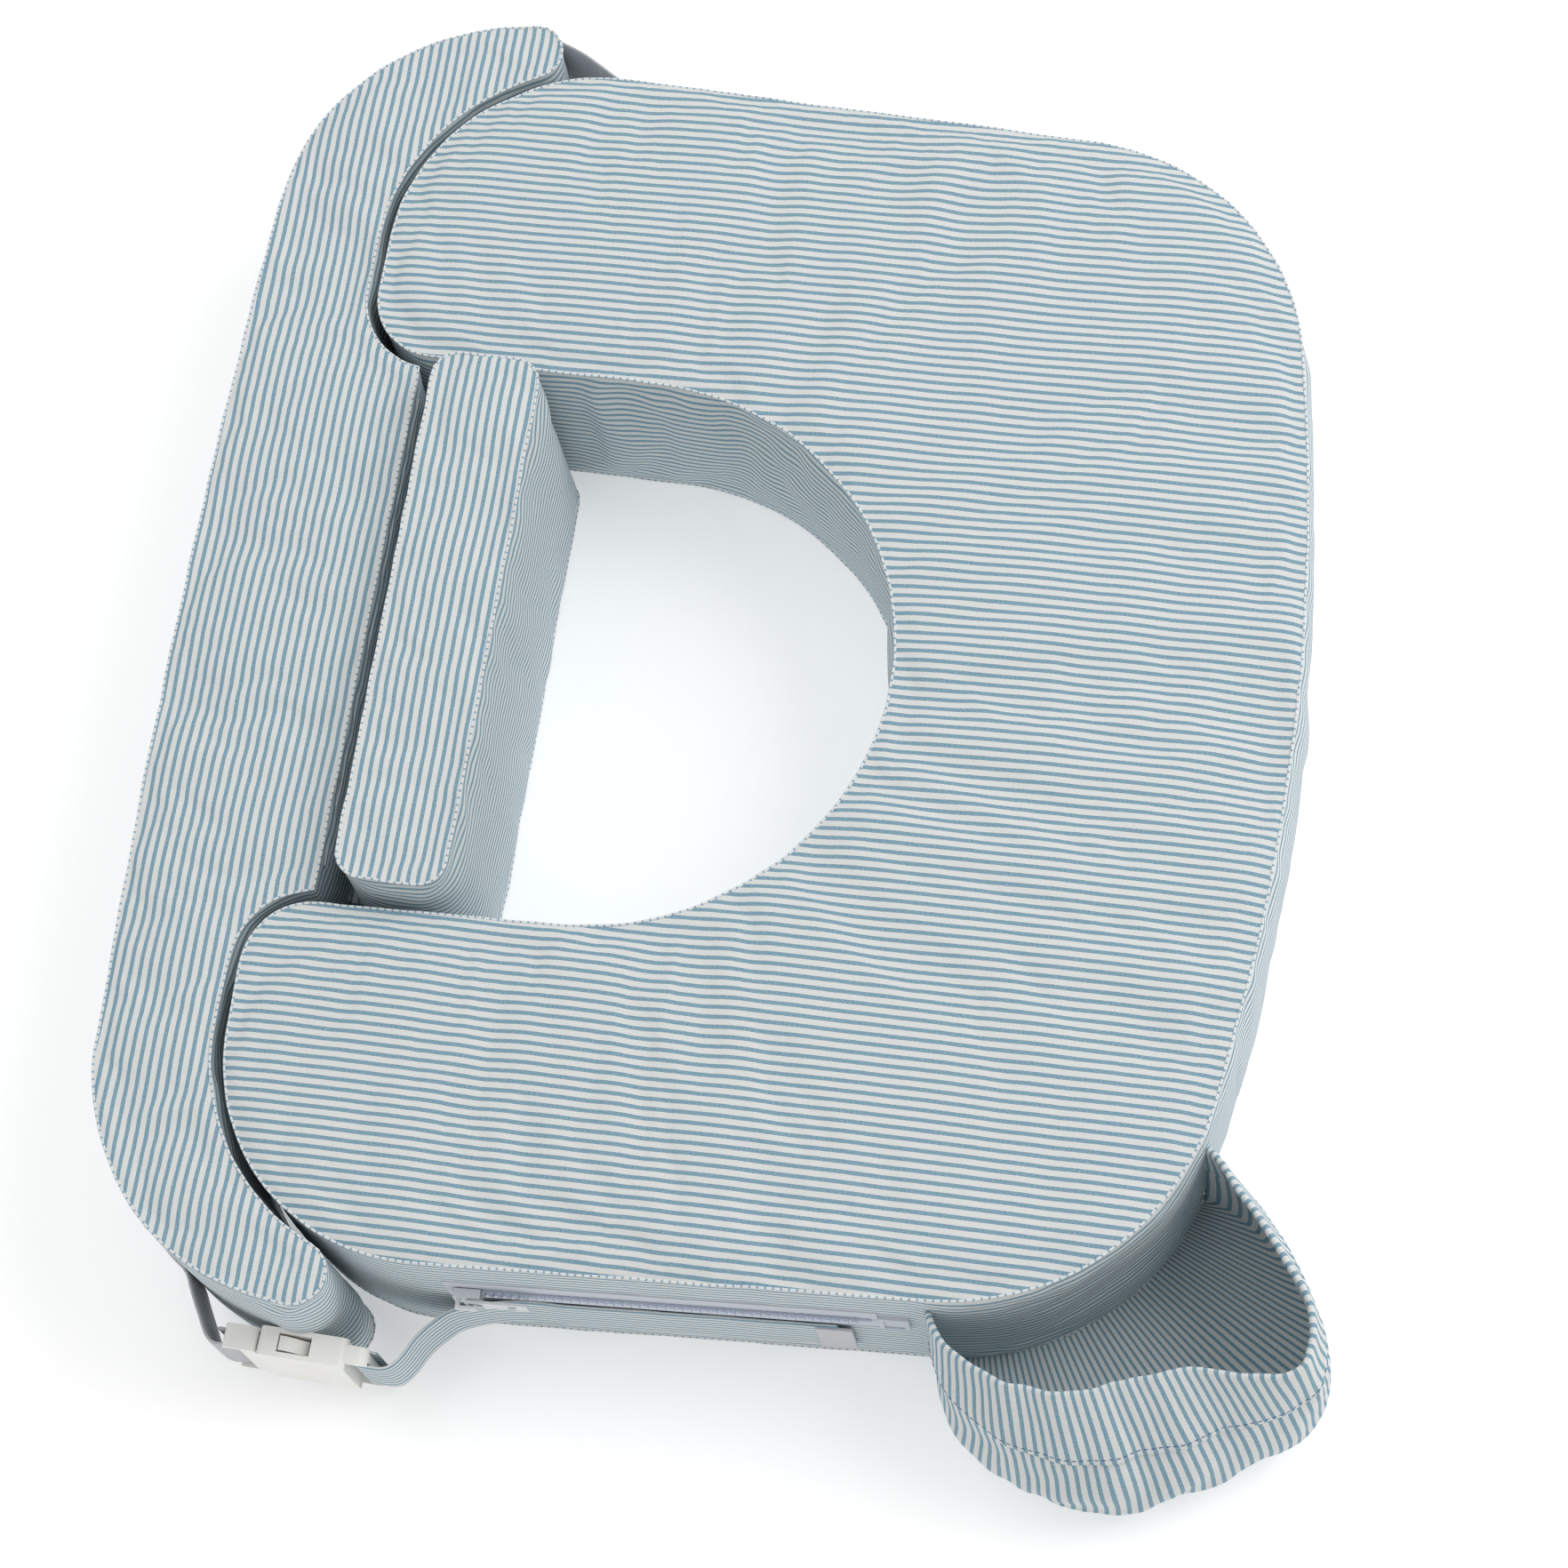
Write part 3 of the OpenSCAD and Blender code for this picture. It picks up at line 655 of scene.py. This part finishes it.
def build_block(block, name, top_axis, body, nodes, phase):
    faces = block.faces()
    mesh = bpy.data.meshes.new(name)
    mesh.from_pydata([tuple(v) for v in block.verts], [], [tuple(int(i) for i in f) for f in faces])
    uv = np.vstack(
        [
            block.flat_uv(top_axis, phase)(block.top),
            block.wall_uv(phase)(block.wall),
            block.flat_uv(top_axis, phase)(block.low),
        ]
    )
    layer = mesh.uv_layers.new(name="cloth")
    layer.data.foreach_set("uv", uv.astype(float).ravel())
    mesh.polygons.foreach_set("use_smooth", [True] * len(mesh.polygons))
    ends = np.empty(len(mesh.edges) * 2, int)
    mesh.edges.foreach_get("vertices", ends)
    a, b = ends.reshape(-1, 2).T
    top_row = block.rows * block.n
    low = (a < block.n) & (b < block.n)
    high = (a >= top_row) & (b >= top_row) & (a < top_row + block.n) & (b < top_row + block.n)
    gap = np.abs(a - b)
    sewn = (low | high) & ((gap == 1) | (gap == block.n - 1))
    crease = mesh.attributes.new("crease_edge", "FLOAT", "EDGE")
    crease.data.foreach_set("value", sewn.astype(np.float32))
    sharp = mesh.attributes.new("sharp_edge", "BOOLEAN", "EDGE")
    sharp.data.foreach_set("value", sewn)
    mesh.materials.append(STRIPE)
    ob = bpy.data.objects.new(name, mesh)
    bpy.context.collection.objects.link(ob)
    sub = ob.modifiers.new("smooth", "SUBSURF")
    sub.levels = sub.render_levels = 1
    settle(ob, body, "striped_cotton", *nodes)
    for row, part in ((0, "bottom"), (block.rows, "top")):
        path = block.verts[row * block.n : (row + 1) * block.n]
        cord = tube(f"{name}_{part}_seam", path, 0.6 * MM, THREADS)
        settle(cord, body, "striped_cotton")
    return ob


def cushion_cap(block):
    v = block.rest
    x, y = ((v[:, :2] - ORIGIN) / MM).T
    cap = np.full(len(v), 4.6 * MM)
    radius = np.hypot(x, y)
    belly = (radius < BELLY_R + 4) & (y < 100)
    back = (y > 95) & (np.abs(x) > 120)
    side = (np.abs(x) > 268) & (y > -150)
    cap[belly & block.is_wall] = 8.0 * MM
    left = (x < -268) & (y > -186)
    cap[side] = 2.4 * MM
    cap[back & block.is_wall] = 1.9 * MM
    near_end = np.hypot(np.abs(x) - ARM_END[0], y - ARM_END[1]) < ARM_END_R + 3
    cap[near_end & block.is_wall & (y > 55)] = 1.9 * MM
    pad_side = (np.abs(x) < 150) & (y > 30) & block.is_wall & ~back
    cap[pad_side] = 1.5 * MM
    corner = np.hypot(x - -CORNER[0], y - CORNER[1])
    cap[block.is_wall & (x < -150) & (y < -150) & (corner > 100)] = 2.2 * MM
    cap[left] = 0.2 * MM
    cap[block.is_top] = 4.2 * MM
    low = ~block.is_wall & ~block.is_top
    cap[low] = 3.6 * MM
    return cap


def cushion_folds(block):
    v = block.verts
    t = np.nonzero(block.is_top & ~block.seam)[0]
    p = block.rest[t]
    edge = np.clip(edge_distance(p[:, :2], block.loop) / (18 * MM), 0, 1)
    folds = crease_field(p, 95 * MM, 21 * MM, 11)
    broad = smooth_noise(p, (9, 15, 0), 4)
    v[t, 2] += (1.5 * MM * folds + 1.1 * MM * broad) * edge
    tuck = crease_field(p, 30 * MM, 8 * MM, 31) * (1 - edge) * edge * 4
    v[t, 2] += 0.5 * MM * tuck
    wall_puckers(block, 21, 2.6 * MM, cushion_cap(block))


def rest_cap(block):
    v = block.rest
    x, y = ((v[:, :2] - ORIGIN) / MM).T
    cap = np.full(len(v), 2.6 * MM)
    d = np.hypot(np.abs(x) - ARM_END[0], y - ARM_END[1])
    inner = (d < ARM_END_R + REST_GAP + 4) | ((np.abs(x) < 150) & (y < 118))
    shoulder = (np.abs(x) < 200) & (y < 140)
    cap[(inner | shoulder) & block.is_wall] = 1.7 * MM
    cap[block.is_top] = 4.4 * MM
    cap[~block.is_wall & ~block.is_top] = 3.6 * MM
    cap[block.is_wall & (x < -270) & (y > 95)] = 0.9 * MM
    return cap


def rest_folds(block):
    v = block.verts
    t = np.nonzero(block.is_top & ~block.seam)[0]
    p = block.rest[t]
    edge = np.clip(edge_distance(p[:, :2], block.loop) / (12 * MM), 0, 1)
    swap = p[:, [1, 0, 2]]
    across = crease_field(swap, 75 * MM, 19 * MM, 41)
    turned = np.column_stack([p[:, 0] + p[:, 1], p[:, 0] - p[:, 1], p[:, 2]])
    slant = crease_field(turned, 60 * MM, 20 * MM, 47)
    v[t, 2] += (1.0 * MM * across + 0.8 * MM * slant) * edge
    tuck = crease_field(swap, 26 * MM, 8 * MM, 51) * (1 - edge) * edge * 4
    v[t, 2] += 0.5 * MM * tuck
    wall_puckers(block, 57, 1.6 * MM, rest_cap(block))


def pad_cap(block):
    v = block.rest
    x, y = ((v[:, :2] - ORIGIN) / MM).T
    cap = np.full(len(v), 2.6 * MM)
    cap[block.is_wall & (y > PAD_FRONT + PAD_T - 3)] = 1.6 * MM
    cap[block.is_wall & (np.abs(x) > 122)] = 1.8 * MM
    cap[block.is_top] = 3.0 * MM
    return cap


def pad_folds(block):
    v = block.verts
    t = np.nonzero(block.is_top & ~block.seam)[0]
    p = block.rest[t]
    edge = np.clip(edge_distance(p[:, :2], block.loop) / (10 * MM), 0, 1)
    v[t, 2] += 0.8 * MM * crease_field(p[:, [1, 0, 2]], 60 * MM, 24 * MM, 61) * edge
    wall_puckers(block, 67, 1.7 * MM, pad_cap(block))


cushion = Block("cushion", resample(closed(cushion_half()), 5.2), 4 * MM, HEIGHT - 0.8 * MM)
shape_block(cushion, 1, cushion_cap, cushion_folds, 4.0, 0.02)
build_block(
    cushion, "cushion_padded", "x", "cushion",
    ("cushion_foam", "cushion_top_panel", "cushion_bottom_panel", "cushion_outer_wall", "cushion_inner_wall"),
    0.0012,
)

rest = Block("rest", resample(closed(rest_half()), 5.0), 4 * MM, HEIGHT - 0.8 * MM)
shape_block(rest, 2, rest_cap, rest_folds, 4.0, 0.02)
build_block(
    rest, "rest_padded", "y", "back_rest",
    ("rest_foam", "rest_top_panel", "rest_bottom_panel", "rest_outer_wall", "rest_inner_wall"),
    0.0005,
)

pad = Block("pad", resample(pad_outline(), 4.6), 3 * MM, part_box("pad_top_panel")[1][2] - 0.8 * MM)
shape_block(pad, 3, pad_cap, pad_folds, 4.0, 0.02)
build_block(
    pad, "pad_padded", "y", "lumbar_pad",
    ("pad_foam", "pad_top_panel", "pad_bottom_panel", "pad_wall"), 0.002,
)

# ---------------------------------------------------------------- pocket

POCKET_FROM, POCKET_TO = 183.0, 254.0
RIM_Z, RIM_BULGE, SIDE_BULGE, BAG_BULGE = 98.0, 46.0, 56.0, 88.0
HEM_S = 30.0 / 110


def pocket_point(t, s, d=0.0):
    """The pocket's surface: t goes round the cushion's corner, s down from the rim, d outward in mm."""
    lift = np.sin(np.pi * t)
    rim = RIM_BULGE * lift**0.7 + SIDE_BULGE * bump_at(t, 0.76, 0.15) * lift**0.5
    bag = BAG_BULGE * lift**0.55 + SIDE_BULGE * 0.45 * bump_at(t, 0.78, 0.18) * lift**0.5
    if s < 0.62:
        out = rim + (bag - rim) * math.sin(math.pi / 2 * s / 0.62)
        down = 1 - 1.25 * s
    else:
        out = bag * math.cos(math.pi / 2 * ((s - 0.62) / 0.38) ** 1.7)
        down = 0.225 * ((1 - s) / 0.38) ** 0.6
    top = RIM_Z - 9 * lift
    z = 4 + (top - 4) * down
    a = math.radians(POCKET_FROM + (POCKET_TO - POCKET_FROM) * t)
    r = CORNER_R + 0.3 + out + d
    c = np.array([-CORNER[0], CORNER[1]])
    q = plan(c + r * np.array([math.cos(a), math.sin(a)]))
    return np.array([q[0], q[1], (z - d * s * s * 0.9) * MM])


def pocket_grid(s0, s1, nt, ns, d):
    t = np.linspace(0, 1, nt + 1)
    s = np.linspace(s0, s1, ns + 1)
    return np.array([[pocket_point(a, b, d) for b in s] for a in t]), t, s


def pocket_folds(grid, t, s, loose=1.0):
    """Pleats that hang from the hem and slack creases near both ends of the pocket."""
    gt = np.gradient(grid, axis=0)
    gs = np.gradient(grid, axis=1)
    normal = np.cross(gs, gt)
    normal /= np.linalg.norm(normal, axis=2)[:, :, None] + 1e-12
    outward = grid[:, :, :2] - plan([-CORNER[0], CORNER[1]])
    flip = np.sign((normal[:, :, :2] * outward).sum(2))
    normal *= np.where(flip == 0, 1, flip)[:, :, None]
    tt, ss = np.meshgrid(t, s, indexing="ij")
    flat = np.column_stack([tt.ravel(), ss.ravel(), np.zeros(tt.size)])
    pleat = smooth_noise(flat, (15, 1.6, 0), 71).reshape(tt.shape)
    fine = smooth_noise(flat, (34, 3.2, 0), 75).reshape(tt.shape)
    leaning = flat + np.outer(flat[:, 1], (0.35, 0, 0))
    slant = smooth_noise(leaning, (11, 4.5, 0), 79).reshape(tt.shape)
    ends = np.exp(-tt / 0.1) + np.exp(-(1 - tt) / 0.1)
    fade = np.sin(np.pi * np.clip(tt, 0.0, 1)) ** 0.4 * (1 - ss**6)
    depth = (3.0 * pleat + 1.7 * fine * (0.6 + ends) + 4.0 * slant * np.clip(ss * 3, 0, 1)) * MM
    return grid + normal * (depth * fade * loose)[:, :, None]


def grid_faces(a, b):
    i, j = np.meshgrid(np.arange(a - 1), np.arange(b - 1), indexing="ij")
    k = (i * b + j).ravel()
    return np.column_stack([k, k + 1, k + b + 1, k + b])


def grid_uv(grid, across_axis=1):
    """Cloth coordinates of a grid, from mean lengths: stripes run along axis 0 unless told otherwise."""
    along = np.concatenate([[0], np.cumsum(np.linalg.norm(np.diff(grid, axis=0), axis=2).mean(1))])
    down = np.concatenate([[0], np.cumsum(np.linalg.norm(np.diff(grid, axis=1), axis=2).mean(0))])
    a, b = np.meshgrid(along, down, indexing="ij")
    uv = np.stack([b, a], 2) if across_axis == 1 else np.stack([a, b], 2)
    return uv.reshape(-1, 2)


def cloth_grid(name, grid, material, uv, thickness, offset=-1.0, levels=1):
    a, b = grid.shape[:2]
    ob = add_object(name, grid.reshape(-1, 3), grid_faces(a, b), material, uv)
    if thickness:
        mod = ob.modifiers.new("cloth_thickness", "SOLIDIFY")
        mod.thickness, mod.offset = thickness, offset
        mod.use_rim = True
    if levels:
        sub = ob.modifiers.new("smooth", "SUBSURF")
        sub.levels = sub.render_levels = levels
    return ob


bag_grid, bag_t, bag_s = pocket_grid(0, 1, 110, 44, 0.6)
bag_grid = pocket_folds(bag_grid, bag_t, bag_s)
corner = plan([-CORNER[0], CORNER[1]])
tuck = bag_grid[:, -1].copy()
tuck[:, :2] = corner + (tuck[:, :2] - corner) * (CORNER_R - 7) / (CORNER_R + 0.9)
tuck[:, 2] = 3.4 * MM
bag_grid = np.concatenate([bag_grid, tuck[:, None]], axis=1)
bag = cloth_grid("pocket_cloth", bag_grid, STRIPE, grid_uv(bag_grid, 0), 1.1 * MM, 1.0)
settle(bag, "cushion", "striped_cotton", "pocket_bag")

hem_rows = 12
hem_grid, hem_t, hem_s = pocket_grid(0, bag_s[hem_rows], 110, hem_rows, 0.6)
hem_grid = pocket_folds(hem_grid, hem_t, hem_s)


def shell_offset(grid, d):
    gt = np.gradient(grid, axis=0)
    gs = np.gradient(grid, axis=1)
    n = np.cross(gs, gt)
    n /= np.linalg.norm(n, axis=2)[:, :, None] + 1e-12
    out = grid[:, :, :2] - plan([-CORNER[0], CORNER[1]])
    flip = np.sign((n[:, :, :2] * out).sum(2))
    return grid + n * np.where(flip == 0, 1, flip)[:, :, None] * d


over = shell_offset(hem_grid, 1.5 * MM)
under = shell_offset(hem_grid, -0.35 * MM)
rim = (over[:, 0] + under[:, 0]) / 2
rim[:, 2] += 1.4 * MM
fold = np.concatenate([under[:, ::-1], rim[:, None], over], axis=1)
hem = cloth_grid("pocket_hem_fold", fold, STRIPE, grid_uv(fold, 0), 0.7 * MM, 1.0)
settle(hem, "cushion", "striped_cotton", "pocket_hem")

stitch_row = shell_offset(hem_grid, 2.1 * MM)[:, hem_rows - 1]


def stitches(name, path, pitch, length, radius, body, material=THREADS):
    """A line of short stitches along a path, one rounded stub each."""
    p = np.asarray(path)
    s = np.concatenate([[0], np.cumsum(np.linalg.norm(np.diff(p, axis=0), axis=1))])
    verts, faces = [], []
    sides = 5
    for start in np.arange(pitch, s[-1] - pitch, pitch):
        ts = start + np.array([0, 0.25, 0.75, 1.0]) * length
        pts = np.stack([np.interp(ts, s, p[:, k]) for k in range(3)], 1)
        d = pts[-1] - pts[0]
        d /= np.linalg.norm(d) + 1e-12
        u = np.cross(d, [0.2, 0.1, 1.0])
        u /= np.linalg.norm(u)
        w = np.cross(d, u)
        base = len(verts)
        for q, r in zip(pts, (0.35, 1.0, 1.0, 0.35)):
            for k in range(sides):
                a = 2 * math.pi * k / sides
                verts.append(q + radius * r * (math.cos(a) * u + math.sin(a) * w))
        for ring in range(3):
            for k in range(sides):
                n = (k + 1) % sides
                low, high = base + ring * sides, base + (ring + 1) * sides
                faces.append((low + k, low + n, high + n, high + k))
        faces.append(tuple(base + k for k in range(sides))[::-1])
        faces.append(tuple(base + 3 * sides + k for k in range(sides)))
    ob = add_object(name, verts, faces, material)
    settle(ob, body, "blue_thread")
    return ob


stitches("pocket_hem_stitches", stitch_row, 3.2 * MM, 2.2 * MM, 0.32 * MM, "cushion", BLUE_THREAD)

# ---------------------------------------------------------------- straps and belts


def at_buckle(p):
    a = math.radians(-BUCKLE_TURN)
    x, y = p[0] - BUCKLE_REACH, p[1]
    return SWING + np.array([x * math.cos(a) - y * math.sin(a), x * math.sin(a) + y * math.cos(a)])


def left_wall(s, d):
    p = SIDE_FROM + (SIDE_TO - SIDE_FROM) * s + d * unit(SIDE_A)
    return np.array([-p[0], p[1]])


def rest_wall(a, d):
    return np.array([-REST_CORNER[0], REST_CORNER[1]]) + (REST_CORNER_R + d) * unit(a)


def web_loop(y, k):
    return [
        at_buckle([3.2 * math.sin(math.radians(a)), y + k * 3.2 * math.cos(math.radians(a))])
        for a in range(-90, 91, 15)
    ]


def spline(points, step):
    """Evenly spaced points on a smooth line through the given ones."""
    p = np.array(points, float)
    q = np.vstack([2 * p[0] - p[1], p, 2 * p[-1] - p[-2]])
    out = []
    for i in range(1, len(q) - 2):
        a, b, c, d = q[i - 1 : i + 3]
        n = max(2, int(np.linalg.norm(c - b) / step * 3))
        for t in np.arange(n) / n:
            square, cube = 2 * a - 5 * b + 4 * c - d, 3 * b - a - 3 * c + d
            out.append(0.5 * (2 * b + (c - a) * t + square * t * t + cube * t**3))
    out.append(p[-1])
    out = np.array(out)
    s = np.concatenate([[0], np.cumsum(np.linalg.norm(np.diff(out, axis=0), axis=1))])
    n = max(2, int(s[-1] / step))
    t = np.linspace(0, s[-1], n + 1)
    return np.stack([np.interp(t, s, out[:, k]) for k in (0, 1)], 1)


def strap(name, points, z, width, thick, material, seed, wave=0.3, step=2.5):
    """An upright flat strap of cloth along a line in the plan, slightly wavy, with soft edges."""
    path = spline(points, step)
    d = np.gradient(path, axis=0)
    d /= np.linalg.norm(d, axis=1)[:, None]
    side = np.column_stack([-d[:, 1], d[:, 0]])
    rows = np.linspace(-width / 2, width / 2, 11)
    s = np.concatenate([[0], np.cumsum(np.linalg.norm(np.diff(path, axis=0), axis=1))])
    ss, ww = np.meshgrid(s, rows, indexing="ij")
    flat = np.column_stack([ss.ravel() * 0.001, ww.ravel() * 0.001, np.zeros(ss.size)])
    n = smooth_noise(flat, (70, 28, 0), seed).reshape(ss.shape)
    ends = np.clip(np.minimum(ss, s[-1] - ss) / 12, 0, 1)
    off = wave * n * ends
    xy = path[:, None, :] + side[:, None, :] * off[:, :, None]
    edge = smooth_noise(np.column_stack([s * 0.001, 0 * s, 0 * s]), (60, 1, 1), seed + 2) * 0.5
    zz = z + ww + edge[:, None] * ends
    grid = np.concatenate([xy * MM + ORIGIN, (zz * MM)[:, :, None]], axis=2)
    uv = np.column_stack([ww.ravel() * MM, ss.ravel() * MM])
    ob = cloth_grid(name, grid, material, uv, thick * MM, 0.0, 1)
    return ob, s[-1] * MM


front_path = (
    [left_wall(0.19 + 0.11 * i, 1.4) for i in range(7)]
    + [np.array(p) for p in ([-296.9, 24], [-303.4, 32.5], [-312, 39.5], [-321, 44.5])]
    + [at_buckle([-2.8, -45])]
    + web_loop(-33.5, 1)
    + [at_buckle([3.1, -41])]
)
ob, length = strap("front_belt_cloth", front_path, BELT_Z, WEB_W, WEB_T, STRIPE, 81)
settle(ob, "cushion", "striped_cotton", "front_belt")

rear_path = (
    [rest_wall(a, 1.5) for a in range(124, 145, 5)]
    + [np.array(p) for p in ([-304, 143], [-313, 138])]
    + [at_buckle([-3, 35])]
    + web_loop(24.6, -1)
    + [at_buckle([3.1, 33])]
)
ob, length = strap("rear_belt_cloth", rear_path, BELT_Z, WEB_W, WEB_T, GREY_WEB, 85)
settle(ob, "back_rest", "grey_webbing", "rear_belt")

lobe_c = ARM_END + (ARM_END_R + REST_GAP + LOBE_R) * unit(LOBE_TURN)
side_path = (
    [REST_CORNER + (REST_CORNER_R + 1.4) * unit(a) for a in (24, 18, 12)]
    + [lobe_c + (LOBE_R + 1.6) * unit(a) for a in (6, -20)]
    + [np.array(p, float) for p in ([310, 64], [303, 52], [296.5, 42])]
    + [SIDE_FROM + (SIDE_TO - SIDE_FROM) * (0.99 - 0.06 * i) + 1.4 * unit(SIDE_A) for i in range(4)]
)
ob, length = strap("side_strap_cloth", side_path, STRAP_Z, WEB_W, WEB_T, GREY_WEB, 89)
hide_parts("side_strap")
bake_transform(ob)

# the strip of cloth folded down between the lumbar pad and the back rest
a, b = PAD_FRONT + PAD_T + 0.9, REST_FRONT - 0.9
m = (a + b) / 2
fold_line = [(a, HEIGHT / MM - 6), (a, 90), (a, 66)]
fold_line += [tuple(np.array([m, 62]) - (m - a) * unit(k)) for k in range(0, 181, 20)]
fold_line += [(b, 66), (b, 90), (b, HEIGHT / MM - 6)]
line = spline(fold_line, 3.0)
xs = np.linspace(-117, 117, 79)
sl = np.concatenate([[0], np.cumsum(np.linalg.norm(np.diff(line, axis=0), axis=1))])
grid = np.empty((len(xs), len(line), 3))
for i, x in enumerate(xs):
    wob = smooth_noise(np.column_stack([np.full(len(line), x * 0.001), sl * 0.001, 0 * sl]), (45, 12, 0), 93)
    q = plan(np.column_stack([np.full(len(line), x), line[:, 0] + 0.5 * wob]))
    grid[i] = np.column_stack([q, line[:, 1] * MM])
uv = np.array([[s * MM, x * MM] for x in xs for s in sl])
strip = cloth_grid("pad_hinge_cloth", grid, STRIPE, uv, 1.0 * MM, 0.0, 1)
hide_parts("pad_hinge_strip")
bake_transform(strip)

# ---------------------------------------------------------------- hard pieces that keep their CAD shape

for node in ("buckle_socket", "buckle_plug", "buckle_prong_upper", "buckle_prong_lower"):
    dress(node, PLASTIC, 0.9 * MM, 3)
for node in ("zip_tape_upper", "zip_tape_lower", "zip_end_tab"):
    dress(node, ZIP_TAPE, 0.25 * MM)
dress("zip_coil", ZIP_NYLON, 0.2 * MM)
dress("zip_slider", ZIP_METAL, 0.4 * MM, 3)
dress("zip_pull", ZIP_METAL, 0.3 * MM, 3)
dress("front_belt_patch", GREY_WEB, 0.3 * MM)
dress("rear_belt_patch", GREY_WEB, 0.3 * MM)
for node in ("pocket_tack_left", "pocket_tack_right"):
    dress(node, BLUE_THREAD, 0.3 * MM)

# ---------------------------------------------------------------- floor, light, camera

floor_mat = Nodes("pale_floor", roughness=0.9, specular=0.0)
speck = floor_mat.noise(floor_mat.new("ShaderNodeTexCoord").outputs["Object"], 3.0, 2.0)
floor_mat.colour(floor_mat.mix(speck, (0.93, 0.93, 0.93, 1.0), (0.96, 0.96, 0.96, 1.0)))
floor_mat.shader.inputs["Emission Color"].default_value = (1, 1, 1, 1)
floor_mat.shader.inputs["Emission Strength"].default_value = 0.3
mesh = bpy.data.meshes.new("floor")
mesh.from_pydata([(-20, -20, 0), (20, -20, 0), (20, 20, 0), (-20, 20, 0)], [], [(0, 1, 2, 3)])
mesh.materials.append(floor_mat.mat)
floor = bpy.data.objects.new("floor", mesh)
floor.location.z = -0.3 * MM
bpy.context.collection.objects.link(floor)

world = bpy.data.worlds.new("studio")
world.use_nodes = True
world.node_tree.nodes["Background"].inputs["Color"].default_value = (1, 1, 1, 1)
world.node_tree.nodes["Background"].inputs["Strength"].default_value = 0.55
bpy.context.scene.world = world


def area_light(name, place, target, size, power):
    data = bpy.data.lights.new(name, "AREA")
    data.shape, data.size, data.energy = "SQUARE", size, power
    ob = bpy.data.objects.new(name, data)
    ob.location = place
    ob.rotation_euler = (Vector(target) - Vector(place)).to_track_quat("-Z", "Y").to_euler()
    bpy.context.collection.objects.link(ob)


area_light("key_light", (0.7, -1.5, 2.0), (0, 0, 0.05), 1.6, 26)
area_light("fill_light", (0.4, 0.9, 2.6), (0, 0, 0.05), 2.4, 14)

bpy.context.scene.view_settings.view_transform = "Standard"
bpy.context.scene.view_settings.look = "None"

rx, ry, rz = (math.radians(a) for a in (-19.8, 8.01, 6.25))
spin_z = Matrix(((math.cos(rz), -math.sin(rz), 0), (math.sin(rz), math.cos(rz), 0), (0, 0, 1)))
spin_y = Matrix(((math.cos(ry), 0, math.sin(ry)), (0, 1, 0), (-math.sin(ry), 0, math.cos(ry))))
spin_x = Matrix(((1, 0, 0), (0, math.cos(rx), -math.sin(rx)), (0, math.sin(rx), math.cos(rx))))
axes = spin_z @ spin_y @ spin_x @ Matrix(((0, -1, 0), (-1, 0, 0), (0, 0, -1)))
cam_data = bpy.data.cameras.new("camera")
cam_data.lens, cam_data.sensor_width = 88.71, 36.0
cam_data.clip_end = 20
camera = bpy.data.objects.new("camera", cam_data)
turn = Matrix((axes[0], -axes[1], -axes[2])).transposed()
eye = plan([-631, -331])
camera.matrix_world = Matrix.Translation((eye[0], eye[1], 1.7099)) @ turn.to_4x4()
bpy.context.collection.objects.link(camera)
bpy.context.scene.camera = camera
